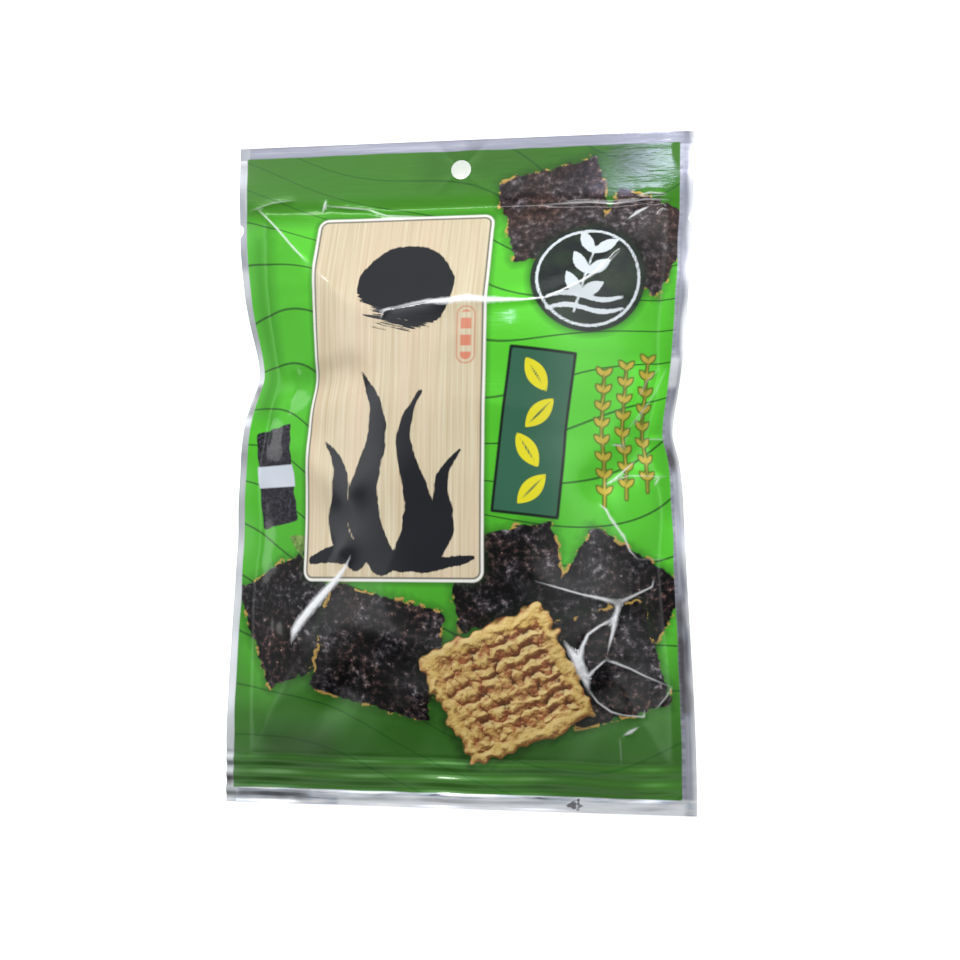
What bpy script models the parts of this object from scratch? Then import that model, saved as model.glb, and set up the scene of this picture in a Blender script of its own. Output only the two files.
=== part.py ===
"""A sealed foil snack pouch, lying on its back with the printed side up.

The pouch is one closed solid. A front film and a back film meet in a flat sealed rim: narrow
seals down both sides, a deeper seal at the bottom and a wide header with a hang hole at the top.
Between the seals the front film bulges over the filling, and the back film rests flat on the
ground. Film can't stretch, so towards each end the bulge is cut off by straight lines that run
from a bent ridge down to the seal. The side seals are pulled in where the filled pouch buckles,
and each of these places sends a valley into the front film. X runs across the pouch, Y towards
its header, Z up.
"""

import math
from collections import namedtuple

import bmesh
import bpy
import numpy as np

# The pouch as it lies, filled
WIDTH = 0.180
LENGTH = 0.258
FRONT_RISE = 0.024
BACK_DROP = 0.027

# The sealed rim
SEAL_THICKNESS = 0.0008
SIDE_SEAL = 0.009
BOTTOM_SEAL = 0.017
HEADER = 0.027
SIDE_RIM_HEIGHT = 0.0085
END_RIM_HEIGHT = 0.0045
RIM_WAVE = 0.0011
WAVE_LENGTH_ACROSS = 0.110
WAVE_LENGTH_ALONG = 0.095

# The hang hole and the two tear notches
HOLE_DIAMETER = 0.008
HOLE_FROM_TOP = 0.012
NOTCH_FROM_TOP = 0.034
NOTCH_DEPTH = 0.0016
NOTCH_RADIUS = 0.0025
CUTTER_HEIGHT = 0.030

# How the filling shapes the body: its section, its ends, and how it meets the ground
SECTION_POWER = 2.6
SEAL_EASE = 0.04
END_ROUNDNESS = 0.22
FILLED_FROM = BOTTOM_SEAL - LENGTH / 2
FILLED_TO = LENGTH / 2 - HEADER
GROUND_BLEND = 0.0012
RELIEF_FADE = 4.0

# The bent ridges from which the film runs straight down to the header and to the bottom seal
RIDGE_ABOVE = [
    (-0.081, 0.103), (-0.073, 0.095), (-0.064, 0.086), (-0.056, 0.076), (-0.044, 0.062), (-0.026, 0.057),
    (-0.002, 0.060), (0.020, 0.0605), (0.036, 0.061), (0.049, 0.068), (0.062, 0.080), (0.081, 0.102),
]
RIDGE_BELOW = [
    (-0.081, -0.112), (-0.060, -0.074), (-0.040, -0.060), (0.000, -0.066),
    (0.040, -0.062), (0.060, -0.076), (0.081, -0.112),
]
RIDGE_EASE = 0.003
RIDGE_STEP = 0.0005
RIDGE_SOFTNESS = 0.014
LEAST_RUN = 0.003

# The mesh: cells across each zone of the rim and of the body
SIDE_SEAL_CELLS = 2
BODY_CELLS_ACROSS = 36
BOTTOM_SEAL_CELLS = 3
BODY_CELLS_ALONG = 46
HEADER_CELLS = 5
HOLE_SIDES = 32
ARC_STEPS = 8

# A side seal is drawn in along a long waist and at one sharper pinch
Waist = namedtuple("Waist", "depth pinch_depth pinch_at reach_above reach_below")
LEFT_WAIST = Waist(0.0035, 0.0087, 0.037, 0.026, 0.013)
RIGHT_WAIST = Waist(0.0043, 0.0043, 0.012, 0.020, 0.009)

# A fold of the front film follows an arc through three places. A valley's height is negative.
Fold = namedtuple("Fold", "start middle end height half_width")
FOLDS = {
    "shoulder ridge": Fold((-0.034, 0.057), (0.008, 0.062), (0.062, 0.080), 0.0006, 0.0055),
    "upper left ridge": Fold((-0.082, 0.102), (-0.070, 0.089), (-0.056, 0.072), 0.0008, 0.0050),
    "header crease": Fold((-0.070, 0.101), (0.000, 0.097), (0.074, 0.101), -0.0010, 0.0050),
    "left pinch valley": Fold((-0.084, 0.036), (-0.062, 0.030), (-0.040, 0.034), -0.0030, 0.0075),
    "left facet ridge": Fold((-0.080, 0.014), (-0.060, 0.005), (-0.038, -0.012), 0.0015, 0.0065),
    "right pinch valley": Fold((0.086, 0.011), (0.070, 0.003), (0.056, -0.007), -0.0030, 0.0070),
    "right facet ridge": Fold((0.080, 0.040), (0.069, 0.026), (0.061, 0.010), 0.0013, 0.0055),
    "lower left ridge": Fold((-0.042, -0.034), (-0.052, -0.048), (-0.062, -0.062), 0.0018, 0.0060),
    "lower right ridge": Fold((0.032, -0.042), (0.052, -0.049), (0.078, -0.045), 0.0014, 0.0060),
    "bottom left valley": Fold((-0.062, -0.113), (-0.053, -0.098), (-0.040, -0.084), -0.0022, 0.0070),
    "bottom middle ridge": Fold((-0.020, -0.113), (-0.018, -0.100), (-0.012, -0.086), 0.0012, 0.0065),
    "bottom right valley": Fold((0.044, -0.113), (0.050, -0.096), (0.062, -0.078), -0.0020, 0.0070),
}


def clear_scene():
    for thing in list(bpy.data.objects):
        bpy.data.objects.remove(thing, do_unlink=True)


def collection(name):
    made = bpy.data.collections.new(name)
    bpy.context.scene.collection.children.link(made)
    return made


def film_material():
    """Glossy printed film, in the bright green of its ground."""
    material = bpy.data.materials.new("printed_foil_film")
    material.use_nodes = True
    shader = material.node_tree.nodes["Principled BSDF"]
    shader.inputs["Base Color"].default_value = (0.075, 0.455, 0.035, 1.0)
    shader.inputs["Roughness"].default_value = 0.25
    shader.inputs["Metallic"].default_value = 0.0
    return material


def zones(lengths, cells):
    """Shares of the whole, from 0 to 1: one on each zone's edge, and evenly spaced between."""
    edges = np.concatenate([[0.0], np.cumsum(lengths)]) / sum(lengths)
    lines = [np.linspace(a, b, n, endpoint=False) for a, b, n in zip(edges, edges[1:], cells)]
    return np.concatenate(lines + [[1.0]])


def drawn_in(y, waist):
    """How far a side seal lies inside the straight side of an empty pouch."""
    reach = np.where(y > waist.pinch_at, waist.reach_above, waist.reach_below)
    held = np.clip(1 - (2 * y / LENGTH) ** 2, 0, 1)
    pinch = waist.pinch_depth / (1 + ((y - waist.pinch_at) / reach) ** 2)
    return waist.depth * held**2.5 + pinch * held


def sides(y):
    """X of the left side and of the right side."""
    return -WIDTH / 2 + drawn_in(y, LEFT_WAIST), WIDTH / 2 - drawn_in(y, RIGHT_WAIST)


def rim_height(x, y):
    """Height of the seals' middle: highest and wavy half way up the sides, low at the ends."""
    towards_end = (2 * y / LENGTH) ** 2
    towards_side = (2 * x / WIDTH) ** 2
    height = SIDE_RIM_HEIGHT + (END_RIM_HEIGHT - SIDE_RIM_HEIGHT) * towards_end
    wave = np.sin(2 * math.pi * (x / WAVE_LENGTH_ACROSS + y / WAVE_LENGTH_ALONG))
    return height + RIM_WAVE * wave * towards_side * (1 - towards_end)


def profile(y):
    """Share of the full height along the pouch, before its ends are cut off."""
    share = np.clip((y - FILLED_FROM) / (FILLED_TO - FILLED_FROM), 0, 1)
    return np.clip(np.sin(math.pi * share), 0, 1) ** END_ROUNDNESS


def eased_line(places, x):
    """Y of a bent ridge at x, its bends rounded by a bell-shaped mean."""
    table = np.arange(-240, 241) * RIDGE_STEP
    bell = np.exp(-((np.arange(-30, 31) * RIDGE_STEP / RIDGE_EASE) ** 2))
    heights = np.interp(table, *np.transpose(places))
    rounded = np.convolve(np.pad(heights, 30, "edge"), bell / bell.sum(), "valid")
    return np.interp(x, table, rounded)


def lesser(first, second, softness):
    """The lesser of two heights, with a soft bend where they cross."""
    return (first + second - np.sqrt((first - second) ** 2 + 4 * softness**2)) / 2


def facet(x, y, ridge, seal):
    """Straight down from the ridge to the seal."""
    towards_seal = np.sign(seal)
    run = towards_seal * np.clip(towards_seal * (seal - eased_line(ridge, x)), LEAST_RUN, None)
    return profile(seal - run) * (seal - y) / run


def fullness(columns, y):
    """From 0 at the seals to 1 where the pouch is deepest, at these shares across the flat film."""
    x = (columns - 0.5) * WIDTH
    section = 1 - np.abs(np.clip(x / (WIDTH / 2 - SIDE_SEAL), -1, 1)) ** SECTION_POWER
    along = profile(y)
    softness = RIDGE_SOFTNESS * np.clip(3 * along, 0, 1)
    cut_above = lesser(along, facet(x, y, RIDGE_ABOVE, FILLED_TO), softness)
    cut = lesser(cut_above, facet(x, y, RIDGE_BELOW, FILLED_FROM), softness)
    full = section * np.clip(cut, 0, 1)
    return full**2 / (full + SEAL_EASE) * (1 + SEAL_EASE)


def arc(fold):
    """Places along the curve from the fold's start, through its middle, to its end."""
    start, middle, end = np.array([fold.start, fold.middle, fold.end])
    pull = 2 * middle - (start + end) / 2
    t = np.linspace(0, 1, ARC_STEPS + 1)[:, None]
    return (1 - t) ** 2 * start + 2 * t * (1 - t) * pull + t**2 * end


def distance_to_line(x, y, line):
    """Distance from each place to a line through these points."""
    nearest = np.full(x.shape, np.inf)
    for (ax, ay), (bx, by) in zip(line, line[1:]):
        dx, dy = bx - ax, by - ay
        share = ((x - ax) * dx + (y - ay) * dy) / (dx**2 + dy**2)
        share = np.clip(share, 0, 1)
        nearest = np.minimum(nearest, np.hypot(x - ax - share * dx, y - ay - share * dy))
    return nearest


def folds(x, y):
    """Height that the ridges and valleys together add to the front film."""
    total = np.zeros(x.shape)
    for fold in FOLDS.values():
        from_fold = distance_to_line(x, y, arc(fold)) / fold.half_width
        total += fold.height * np.exp(-(from_fold**2))
    return total


def settle(height):
    """Height above the ground, flat at 0 where the film would lie below it, with a soft bend."""
    bend = np.clip(height + GROUND_BLEND, 0, None) ** 2 / (4 * GROUND_BLEND)
    return np.where(height > GROUND_BLEND, height, bend)


def films(columns, rows):
    """Places on the front film and on the back film, at these shares across and along the pouch."""
    y = (rows - 0.5) * LENGTH
    left, right = sides(y)
    x = left + (right - left) * columns
    full = fullness(columns, y)
    middle = rim_height(x, y)
    relief = folds(x, y) * np.clip(RELIEF_FADE * full, 0, 1)
    front = middle + SEAL_THICKNESS / 2 + FRONT_RISE * full + relief
    back = settle(middle - SEAL_THICKNESS / 2 - BACK_DROP * full)
    return np.stack([x, y, front], -1), np.stack([x, y, back], -1)


def add_film(shape, columns, rows, side):
    """A grid over the pouch, shaped as film 0, the front, or film 1, the back. Returns its rim."""
    across, along = len(columns) - 1, len(rows) - 1
    grid = bmesh.ops.create_grid(shape, x_segments=across, y_segments=along, size=1.0)
    verts = grid["verts"]
    column = np.array([columns[round((v.co.x + 1) / 2 * across)] for v in verts])
    row = np.array([rows[round((v.co.y + 1) / 2 * along)] for v in verts])
    for vert, place in zip(verts, films(column, row)[side]):
        vert.co = place
    faces = list({face for vert in verts for face in vert.link_faces})
    faces.sort(key=lambda face: tuple(face.calc_center_median()))
    bmesh.ops.triangulate(shape, faces=faces, quad_method="FIXED")
    rim = {edge for vert in verts for edge in vert.link_edges if edge.is_boundary}
    return sorted(rim, key=lambda edge: tuple(edge.verts[0].co + edge.verts[1].co))


def pouch_body(material, parts):
    """Both films, joined round their rims into one closed solid."""
    columns = zones(
        [SIDE_SEAL, WIDTH - 2 * SIDE_SEAL, SIDE_SEAL],
        [SIDE_SEAL_CELLS, BODY_CELLS_ACROSS, SIDE_SEAL_CELLS],
    )
    rows = zones(
        [BOTTOM_SEAL, LENGTH - BOTTOM_SEAL - HEADER, HEADER],
        [BOTTOM_SEAL_CELLS, BODY_CELLS_ALONG, HEADER_CELLS],
    )
    shape = bmesh.new()
    rims = add_film(shape, columns, rows, side=0) + add_film(shape, columns, rows, side=1)
    bmesh.ops.bridge_loops(shape, edges=rims)
    bmesh.ops.recalc_face_normals(shape, faces=shape.faces)
    mesh = bpy.data.meshes.new("pouch")
    shape.to_mesh(mesh)
    shape.free()
    mesh.materials.append(material)
    mesh.shade_smooth()
    mesh.set_sharp_from_angle(angle=math.radians(40))
    body = bpy.data.objects.new("pouch", mesh)
    parts.objects.link(body)
    return body


def cutter(name, corners, radius, place, turn, cutters):
    """An upright prism that goes right through the rim. Unturned, its first corner points to +Y."""
    shape = bmesh.new()
    bmesh.ops.create_cone(
        shape, cap_ends=True, segments=corners, radius1=radius, radius2=radius, depth=CUTTER_HEIGHT
    )
    mesh = bpy.data.meshes.new(name)
    shape.to_mesh(mesh)
    shape.free()
    made = bpy.data.objects.new(name, mesh)
    made.location = place
    made.rotation_euler.z = turn
    made.hide_render = True
    made.display_type = "WIRE"
    cutters.objects.link(made)
    return made


def cut(body, tool):
    boolean = body.modifiers.new(tool.name, "BOOLEAN")
    boolean.operation = "DIFFERENCE"
    boolean.solver = "EXACT"
    boolean.object = tool


def cut_openings(body, cutters):
    """The hang hole through the header, and a tear notch in each side below it."""
    hole_place = (0.0, LENGTH / 2 - HOLE_FROM_TOP, 0.0)
    cut(body, cutter("hang_hole", HOLE_SIDES, HOLE_DIAMETER / 2, hole_place, 0.0, cutters))
    notch_y = LENGTH / 2 - NOTCH_FROM_TOP
    left, right = sides(np.array(notch_y))
    outwards = NOTCH_RADIUS - NOTCH_DEPTH
    left_place = (float(left) - outwards, notch_y, 0.0)
    right_place = (float(right) + outwards, notch_y, 0.0)
    cut(body, cutter("left_notch", 3, NOTCH_RADIUS, left_place, -math.pi / 2, cutters))
    cut(body, cutter("right_notch", 3, NOTCH_RADIUS, right_place, math.pi / 2, cutters))


def build():
    clear_scene()
    parts = collection("snack_pouch")
    cutters = collection("cutters")
    body = pouch_body(film_material(), parts)
    cut_openings(body, cutters)


build()
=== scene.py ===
# %% [markdown]
# # A snack pouch of printed foil
# A hanging snack pouch is two sheets of glossy foil film, welded together all round. The welds stay
# flat and silver at their edges, and the middle swells over the filling. This lesson works the whole
# pouch out as one surface in numpy, prints it with fields of colour, and lights it softly from above.

# %% Load the frame
import math
from collections import namedtuple

import bpy
import numpy as np
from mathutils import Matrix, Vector


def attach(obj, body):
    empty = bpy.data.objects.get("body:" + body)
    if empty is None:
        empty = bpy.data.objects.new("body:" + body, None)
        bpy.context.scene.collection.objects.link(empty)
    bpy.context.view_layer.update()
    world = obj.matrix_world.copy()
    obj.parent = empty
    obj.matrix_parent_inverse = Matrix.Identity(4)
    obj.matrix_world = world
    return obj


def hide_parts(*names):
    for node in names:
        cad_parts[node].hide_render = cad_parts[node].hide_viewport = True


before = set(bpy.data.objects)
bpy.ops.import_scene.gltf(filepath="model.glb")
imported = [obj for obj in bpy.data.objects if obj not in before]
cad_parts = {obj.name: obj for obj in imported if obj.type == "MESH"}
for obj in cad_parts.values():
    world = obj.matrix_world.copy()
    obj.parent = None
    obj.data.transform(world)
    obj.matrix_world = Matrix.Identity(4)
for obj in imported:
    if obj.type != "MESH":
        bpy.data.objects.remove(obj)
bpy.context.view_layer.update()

# %% [markdown]
# ## The pouch's own sizes
# Film is cut and welded to whole millimetres, so every size here is in millimetres and only becomes
# metres when the mesh is made. X runs across the pouch, Y towards the header, Z up.

# %% Sizes of the film and its welds
MM = 0.001
WIDTH, LENGTH = 180.0, 258.0
FRONT_RISE, BACK_DROP = 24.0, 27.0
FILM_THICKNESS = 0.4
SIDE_SEAL, BOTTOM_SEAL, HEADER = 9.0, 17.0, 27.0
HOLE_RADIUS, HOLE_FROM_TOP = 4.0, 12.0
HOLE_PLACE = (0.0, LENGTH / 2 - HOLE_FROM_TOP)
print("film", WIDTH, "x", LENGTH, "mm, hang hole", 2 * HOLE_RADIUS, "mm wide at", HOLE_PLACE)

# %% [markdown]
# ## One grid for both films
# Each film is a grid of lines across and along the pouch. The front is seen closely, so it gets four
# cells for every one of the back. Because the numbers divide evenly, the two rims can be stitched later.

# %% Grid lines as shares of the pouch
Grid = namedtuple("Grid", "columns rows")
CELLS_ACROSS, CELLS_ALONG, BACK_STEP = 224, 320, 2


def grid_lines(step):
    """Shares from 0 to 1, a cell apart. Columns vary along the second axis, rows along the first."""
    columns = np.linspace(0, 1, CELLS_ACROSS // step + 1)[None, :]
    rows = np.linspace(0, 1, CELLS_ALONG // step + 1)[:, None]
    return Grid(*np.broadcast_arrays(columns, rows))


front_grid, back_grid = grid_lines(1), grid_lines(BACK_STEP)
print("front", front_grid.columns.shape, "back", back_grid.columns.shape)

# %% [markdown]
# ## Drawn-in sides
# A filled pouch is narrower half way up than an empty one, because the film has to go round the
# filling. Where it buckles, one side seal is drawn in sharply. A long waist and one sharp bell curve
# describe each side.

# %% How far each side is drawn in
Waist = namedtuple("Waist", "depth pinch_depth pinch_at reach_above reach_below")
LEFT_WAIST = Waist(3.5, 8.7, 37.0, 26.0, 13.0)
RIGHT_WAIST = Waist(4.3, 4.3, 12.0, 20.0, 9.0)


def drawn_in(y, waist):
    """A waist, (1 - (2y / length) squared) to the power 2.5, and a pinch, 1 / (1 + distance squared)."""
    reach = np.where(y > waist.pinch_at, waist.reach_above, waist.reach_below)
    held = np.clip(1 - (2 * y / LENGTH) ** 2, 0, 1)
    pinch = waist.pinch_depth / (1 + ((y - waist.pinch_at) / reach) ** 2)
    return waist.depth * held**2.5 + pinch * held


def sides(y):
    """X of the left side and of the right side."""
    return -WIDTH / 2 + drawn_in(y, LEFT_WAIST), WIDTH / 2 - drawn_in(y, RIGHT_WAIST)


left_side, right_side = sides(np.linspace(-LENGTH / 2, LENGTH / 2, 200))
print("narrowest:", round(float(np.min(right_side - left_side)), 1), "mm")

# %% [markdown]
# ## The filled body
# The seals hang at mid height, a little lower and wavy towards the ends. Between them the front rises
# by a rounded section across times a profile along. Film can't stretch, so the two ends are not round:
# each is a facet of straight lines that run from a bent ridge down to the seal.

# %% Height of the seals and of the body
SIDE_RIM_HEIGHT, END_RIM_HEIGHT, RIM_WAVE = 8.5, 4.5, 1.1
WAVE_ACROSS, WAVE_ALONG = 110.0, 95.0
SECTION_POWER, SEAL_EASE, END_ROUNDNESS = 2.6, 0.04, 0.22
WANDER, WANDER_LENGTH, WANDER_DRIFT = 0.9, 11.0, 31.0
FILLED_FROM, FILLED_TO = BOTTOM_SEAL - LENGTH / 2, LENGTH / 2 - HEADER
RIDGE_ABOVE = [
    (-81, 103), (-73, 95), (-64, 86), (-56, 76), (-44, 62), (-26, 57),
    (-2, 60), (20, 60.5), (36, 61), (49, 68), (62, 80), (81, 102),
]
RIDGE_BELOW = [(-81, -112), (-60, -74), (-40, -60), (0, -66), (40, -62), (60, -76), (81, -112)]
RIDGE_EASE, RIDGE_SOFTNESS, LEAST_WAY = 3.0, 0.014, 3.0
TABLE_REACH, TABLE_STEP, BELL_REACH = 120, 0.5, 30


def rim_height(x, y):
    """A parabola along the pouch, plus one slanting sine wave that grows towards the sides."""
    towards_end, towards_side = (2 * y / LENGTH) ** 2, (2 * x / WIDTH) ** 2
    wave = towards_side * (1 - towards_end) * np.sin(2 * math.pi * (x / WAVE_ACROSS + y / WAVE_ALONG))
    return SIDE_RIM_HEIGHT + (END_RIM_HEIGHT - SIDE_RIM_HEIGHT) * towards_end + RIM_WAVE * wave


def profile(y):
    """Share of the full height along the pouch: sin(pi s) to the power 0.22."""
    s = np.clip((y - FILLED_FROM) / (FILLED_TO - FILLED_FROM), 0, 1)
    return np.clip(np.sin(math.pi * s), 0, 1) ** END_ROUNDNESS


def eased_line(places, x):
    """Height of a bent line at x, its bends rounded by a bell-shaped mean."""
    table = np.arange(-TABLE_REACH, TABLE_REACH + TABLE_STEP, TABLE_STEP)
    bell = np.exp(-((np.arange(-BELL_REACH, BELL_REACH + 1) * TABLE_STEP / RIDGE_EASE) ** 2))
    heights = np.interp(table, *np.transpose(places))
    rounded = np.convolve(np.pad(heights, BELL_REACH, "edge"), bell / bell.sum(), "valid")
    return np.interp(x, table, rounded)


def lesser(first, second, softness):
    """The lesser of two heights with a soft bend: their mean less half of a rounded difference."""
    return (first + second - np.sqrt((first - second) ** 2 + 4 * softness**2)) / 2


def facet(x, y, ridge, seal):
    """Straight down from the ridge to the seal: the ridge's height times the share of the way left."""
    ridge_y = eased_line(ridge, x)
    way = np.sign(seal) * np.clip(np.sign(seal) * (seal - ridge_y), LEAST_WAY, None)
    return profile(seal - way) * (seal - y) / way


def fullness(grid):
    """A rounded section across, 1 - |u| to the power 2.6, times the cut profile, eased in at the seals."""
    x, y = (grid.columns - 0.5) * WIDTH, (grid.rows - 0.5) * LENGTH
    wander = WANDER * np.sin(y / WANDER_LENGTH + 2.0 * np.sin(y / WANDER_DRIFT) + np.sign(x))
    u = np.clip(x / (WIDTH / 2 - SIDE_SEAL - wander), -1, 1)
    cut = profile(y)
    softness = RIDGE_SOFTNESS * np.clip(3 * cut, 0, 1)
    for ridge, seal in ((RIDGE_ABOVE, FILLED_TO), (RIDGE_BELOW, FILLED_FROM)):
        cut = lesser(cut, facet(x, y, ridge, seal), softness)
    full = (1 - np.abs(u) ** SECTION_POWER) * np.clip(cut, 0, 1)
    return full**2 / (full + SEAL_EASE) * (1 + SEAL_EASE)


print("fullest share:", round(float(fullness(front_grid).max()), 3))

# %% [markdown]
# ## Broad folds
# Film can't stretch, so a swollen pouch breaks into broad ridges and valleys. Each fold follows an arc
# through three places and has a bell-shaped section, the same ones that the solid model has.

# %% Folds along arcs
Fold = namedtuple("Fold", "start middle end height half_width")
FOLDS = {
    "shoulder ridge": Fold((-34, 57), (8, 62), (62, 80), 0.6, 5.5),
    "upper left ridge": Fold((-82, 102), (-70, 89), (-56, 72), 0.8, 5.0),
    "header crease": Fold((-70, 101), (0, 97), (74, 101), -1.0, 5.0),
    "left pinch valley": Fold((-84, 36), (-62, 30), (-40, 34), -3.0, 7.5),
    "left facet ridge": Fold((-80, 14), (-60, 5), (-38, -12), 1.5, 6.5),
    "right pinch valley": Fold((86, 11), (70, 3), (56, -7), -3.0, 7.0),
    "right facet ridge": Fold((80, 40), (69, 26), (61, 10), 1.3, 5.5),
    "lower left ridge": Fold((-42, -34), (-52, -48), (-62, -62), 1.8, 6.0),
    "lower right ridge": Fold((32, -42), (52, -49), (78, -45), 1.4, 6.0),
    "bottom left valley": Fold((-62, -113), (-53, -98), (-40, -84), -2.2, 7.0),
    "bottom middle ridge": Fold((-20, -113), (-18, -100), (-12, -86), 1.2, 6.5),
    "bottom right valley": Fold((44, -113), (50, -96), (62, -78), -2.0, 7.0),
}
ARC_STEPS = 16


def arc(start, middle, end):
    """Places on the parabola that starts at the first place, passes the second and ends at the third."""
    start, middle, end = np.array([start, middle, end], float)
    pull = 2 * middle - (start + end) / 2
    t = np.linspace(0, 1, ARC_STEPS + 1)[:, None]
    return (1 - t) ** 2 * start + 2 * t * (1 - t) * pull + t**2 * end


def nearest_on(line, x, y):
    """Distance to a line of points, share along it of the nearest place, and 1 or -1 by side."""
    distance, share, side = np.full(x.shape, np.inf), np.zeros(x.shape), np.ones(x.shape)
    pieces = len(line) - 1
    for i, ((ax, ay), (bx, by)) in enumerate(zip(line, line[1:])):
        dx, dy = bx - ax, by - ay
        t = np.clip(((x - ax) * dx + (y - ay) * dy) / (dx**2 + dy**2), 0, 1)
        here = np.hypot(x - ax - t * dx, y - ay - t * dy)
        nearer = here < distance
        distance = np.where(nearer, here, distance)
        share = np.where(nearer, (i + t) / pieces, share)
        side = np.where(nearer, np.where(dx * (y - ay) > dy * (x - ax), 1, -1), side)
    return distance, share, side


def folds(x, y):
    """The sum of height times exp(-(distance / half width) squared)."""
    total = np.zeros(x.shape)
    for fold in FOLDS.values():
        distance = nearest_on(arc(fold.start, fold.middle, fold.end), x, y)[0]
        total += fold.height * np.exp(-((distance / fold.half_width) ** 2))
    return total


print(len(FOLDS), "folds")

# %% [markdown]
# ## Sharp creases
# The bright lines on a pouch are hard creases, a fraction of a millimetre to 4 mm wide, that meet in
# small webs. Each one has a height, how bright it shines, and a line of places, with X, Y and the width
# there. Its section is sharper than a bell: 1 / (1 + distance squared) to the power 1.5.

# %% Creases along bent lines
Crease = namedtuple("Crease", "height shine line")
CREASES = {
    "shoulder hook": Crease(0.30, 0.8, [(-26, 54, 0.2), (-25, 57, 0.6), (-22, 58, 0.5)]),
    "shoulder": Crease(0.50, 1.0, [
        (-26, 57, 0.7), (-10, 60, 1.3), (-2, 60, 2.4), (7, 61, 2.8), (14, 60, 2.3), (21, 60, 1.5),
        (27, 60, 0.8), (36, 61, 0.4), (49, 68, 0.8), (56, 73, 0.6), (62, 80, 0.3)]),
    "upper left": Crease(0.50, 0.9, [(-82, 104, 0.3), (-73, 95, 0.6), (-64, 85, 0.7), (-58, 79, 0.2)]),
    "header left glint": Crease(0.25, 0.75, [(-54, 106, 0.7), (-55, 102, 0.7)]),
    "header line left": Crease(0.35, 0.7, [(-53, 104, 0.4), (-37, 102, 0.3), (-29, 99, 0.4), (-14, 98, 0.2)]),
    "header far left": Crease(0.25, 0.35, [(-85, 103, 0.2), (-76, 106, 0.5), (-66, 107, 0.2)]),
    "header line right": Crease(0.35, 0.6, [
        (30, 101.5, 0.2), (50, 102, 0.5), (59, 101, 0.5), (72, 102.4, 0.3), (80, 102, 0.3)]),
    "header line above": Crease(0.25, 0.5, [(68, 104, 0.3), (73, 105, 0.7), (79, 104.5, 0.6)]),
    "lens": Crease(0.40, 0.9, [(65, 94, 0.2), (68.5, 97, 1.2), (73, 99.5, 0.2)]),
    "corner hook": Crease(0.25, 0.4, [(77, 96.5, 0.3), (78, 98.5, 0.5), (80, 98, 0.3)]),
    "right thin": Crease(0.35, 0.35, [(69, 25, 0.3), (72, 31, 0.4), (77, 37, 0.2)]),
    "right thin beside": Crease(0.40, 0.4, [(65, 13, 0.3), (71, 21, 0.5), (75, 27, 0.3), (79, 36, 0.3)]),
    "stub": Crease(0.25, 0.75, [(60, 7, 0.7), (63, 7, 0.4)]),
    "pinch line": Crease(0.30, 0.5, [(72, 10, 0.3), (78, 10, 0.4)]),
    "star arm": Crease(0.45, 0.85, [(57.5, -7.5, 0.4), (60, -6, 0.9), (63, -3, 0.5), (67, 1, 0.3)]),
    "star line": Crease(0.35, 0.5, [(60, -6, 0.4), (66, -4, 0.4), (73, -4, 0.3), (79, -4, 0.3)]),
    "star glint": Crease(0.25, 0.6, [(75, -7, 0.6), (76.5, -4.5, 0.5)]),
    "hook": Crease(0.50, 0.75, [
        (55, -15, 0.2), (57.5, -17, 0.7), (59, -20, 1.0), (64, -27, 0.8), (66, -32, 0.5), (69, -35, 0.3)]),
    "hook foot": Crease(0.25, 0.3, [(69, -35, 0.2), (79, -35, 0.2)]),
    "low arc": Crease(0.50, 0.8, [
        (33, -43.5, 0.2), (42, -46, 0.5), (49, -48, 0.5), (54, -49, 0.9), (62, -51, 1.9)]),
    "low arc right": Crease(0.45, 0.65, [
        (62, -51, 1.7), (67, -48.5, 0.7), (74, -45, 0.5), (74.5, -42.5, 0.3)]),
    "node": Crease(0.50, 0.85, [
        (62, -51, 2.0), (61.5, -54, 1.5), (60.5, -57, 2.1), (60, -61, 1.2), (58, -69, 0.3)]),
    "loop": Crease(0.50, 0.95, [
        (60, -57, 1.4), (55, -59.5, 0.7), (51, -62.5, 0.8), (49, -67, 1.3), (48, -71, 2.2), (49, -76, 2.2)]),
    "bar": Crease(0.55, 0.9, [
        (43, -65.5, 1.0), (46, -70, 2.8), (48.5, -75.5, 3.6), (50, -79, 2.6), (51, -83, 0.8)]),
    "bar foot": Crease(0.40, 0.65, [
        (51, -83, 0.6), (54, -87.5, 0.5), (59, -91, 0.5),
        (63, -92, 0.3), (71, -92.6, 0.5), (71, -90.5, 0.3)]),
    "chord": Crease(0.40, 0.9, [(50.5, -78.5, 1.4), (53, -75.5, 0.8), (57.5, -71.5, 0.4)]),
    "cross": Crease(0.45, 0.7, [
        (58, -72, 0.5), (61, -73, 1.0), (66, -75, 0.5), (71, -77.6, 0.4), (81, -82, 0.2)]),
    "cross tip": Crease(0.35, 0.45, [(81, -82, 0.3), (79, -85.5, 0.5), (75.5, -89.5, 0.4)]),
    "low glint": Crease(0.35, 0.85, [(63.5, -99.6, 0.3), (66, -98.3, 1.3), (68.5, -96.6, 0.4)]),
    "low line": Crease(0.20, 0.4, [(62, -101, 0.2), (62.5, -110, 0.2)]),
    "left diagonal": Crease(0.60, 1.1, [
        (-36, -35, 0.3), (-38, -39, 1.2), (-42, -44, 2.1), (-47, -49, 3.0),
        (-52, -54, 3.1), (-57, -59.5, 3.1), (-59.5, -63, 2.7), (-61, -67, 0.6)]),
}
CREASE_BASE, WEB, LEAST_DRAWN, LEAST_WEB, FAR = 0.9, 0.45, 0.5, 0.7, 40.0
SOFT_BASE, SOFT_SHARE, THIN_SHINE, END_SHINE = 0.7, 0.3, 0.35, 0.3


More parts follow.
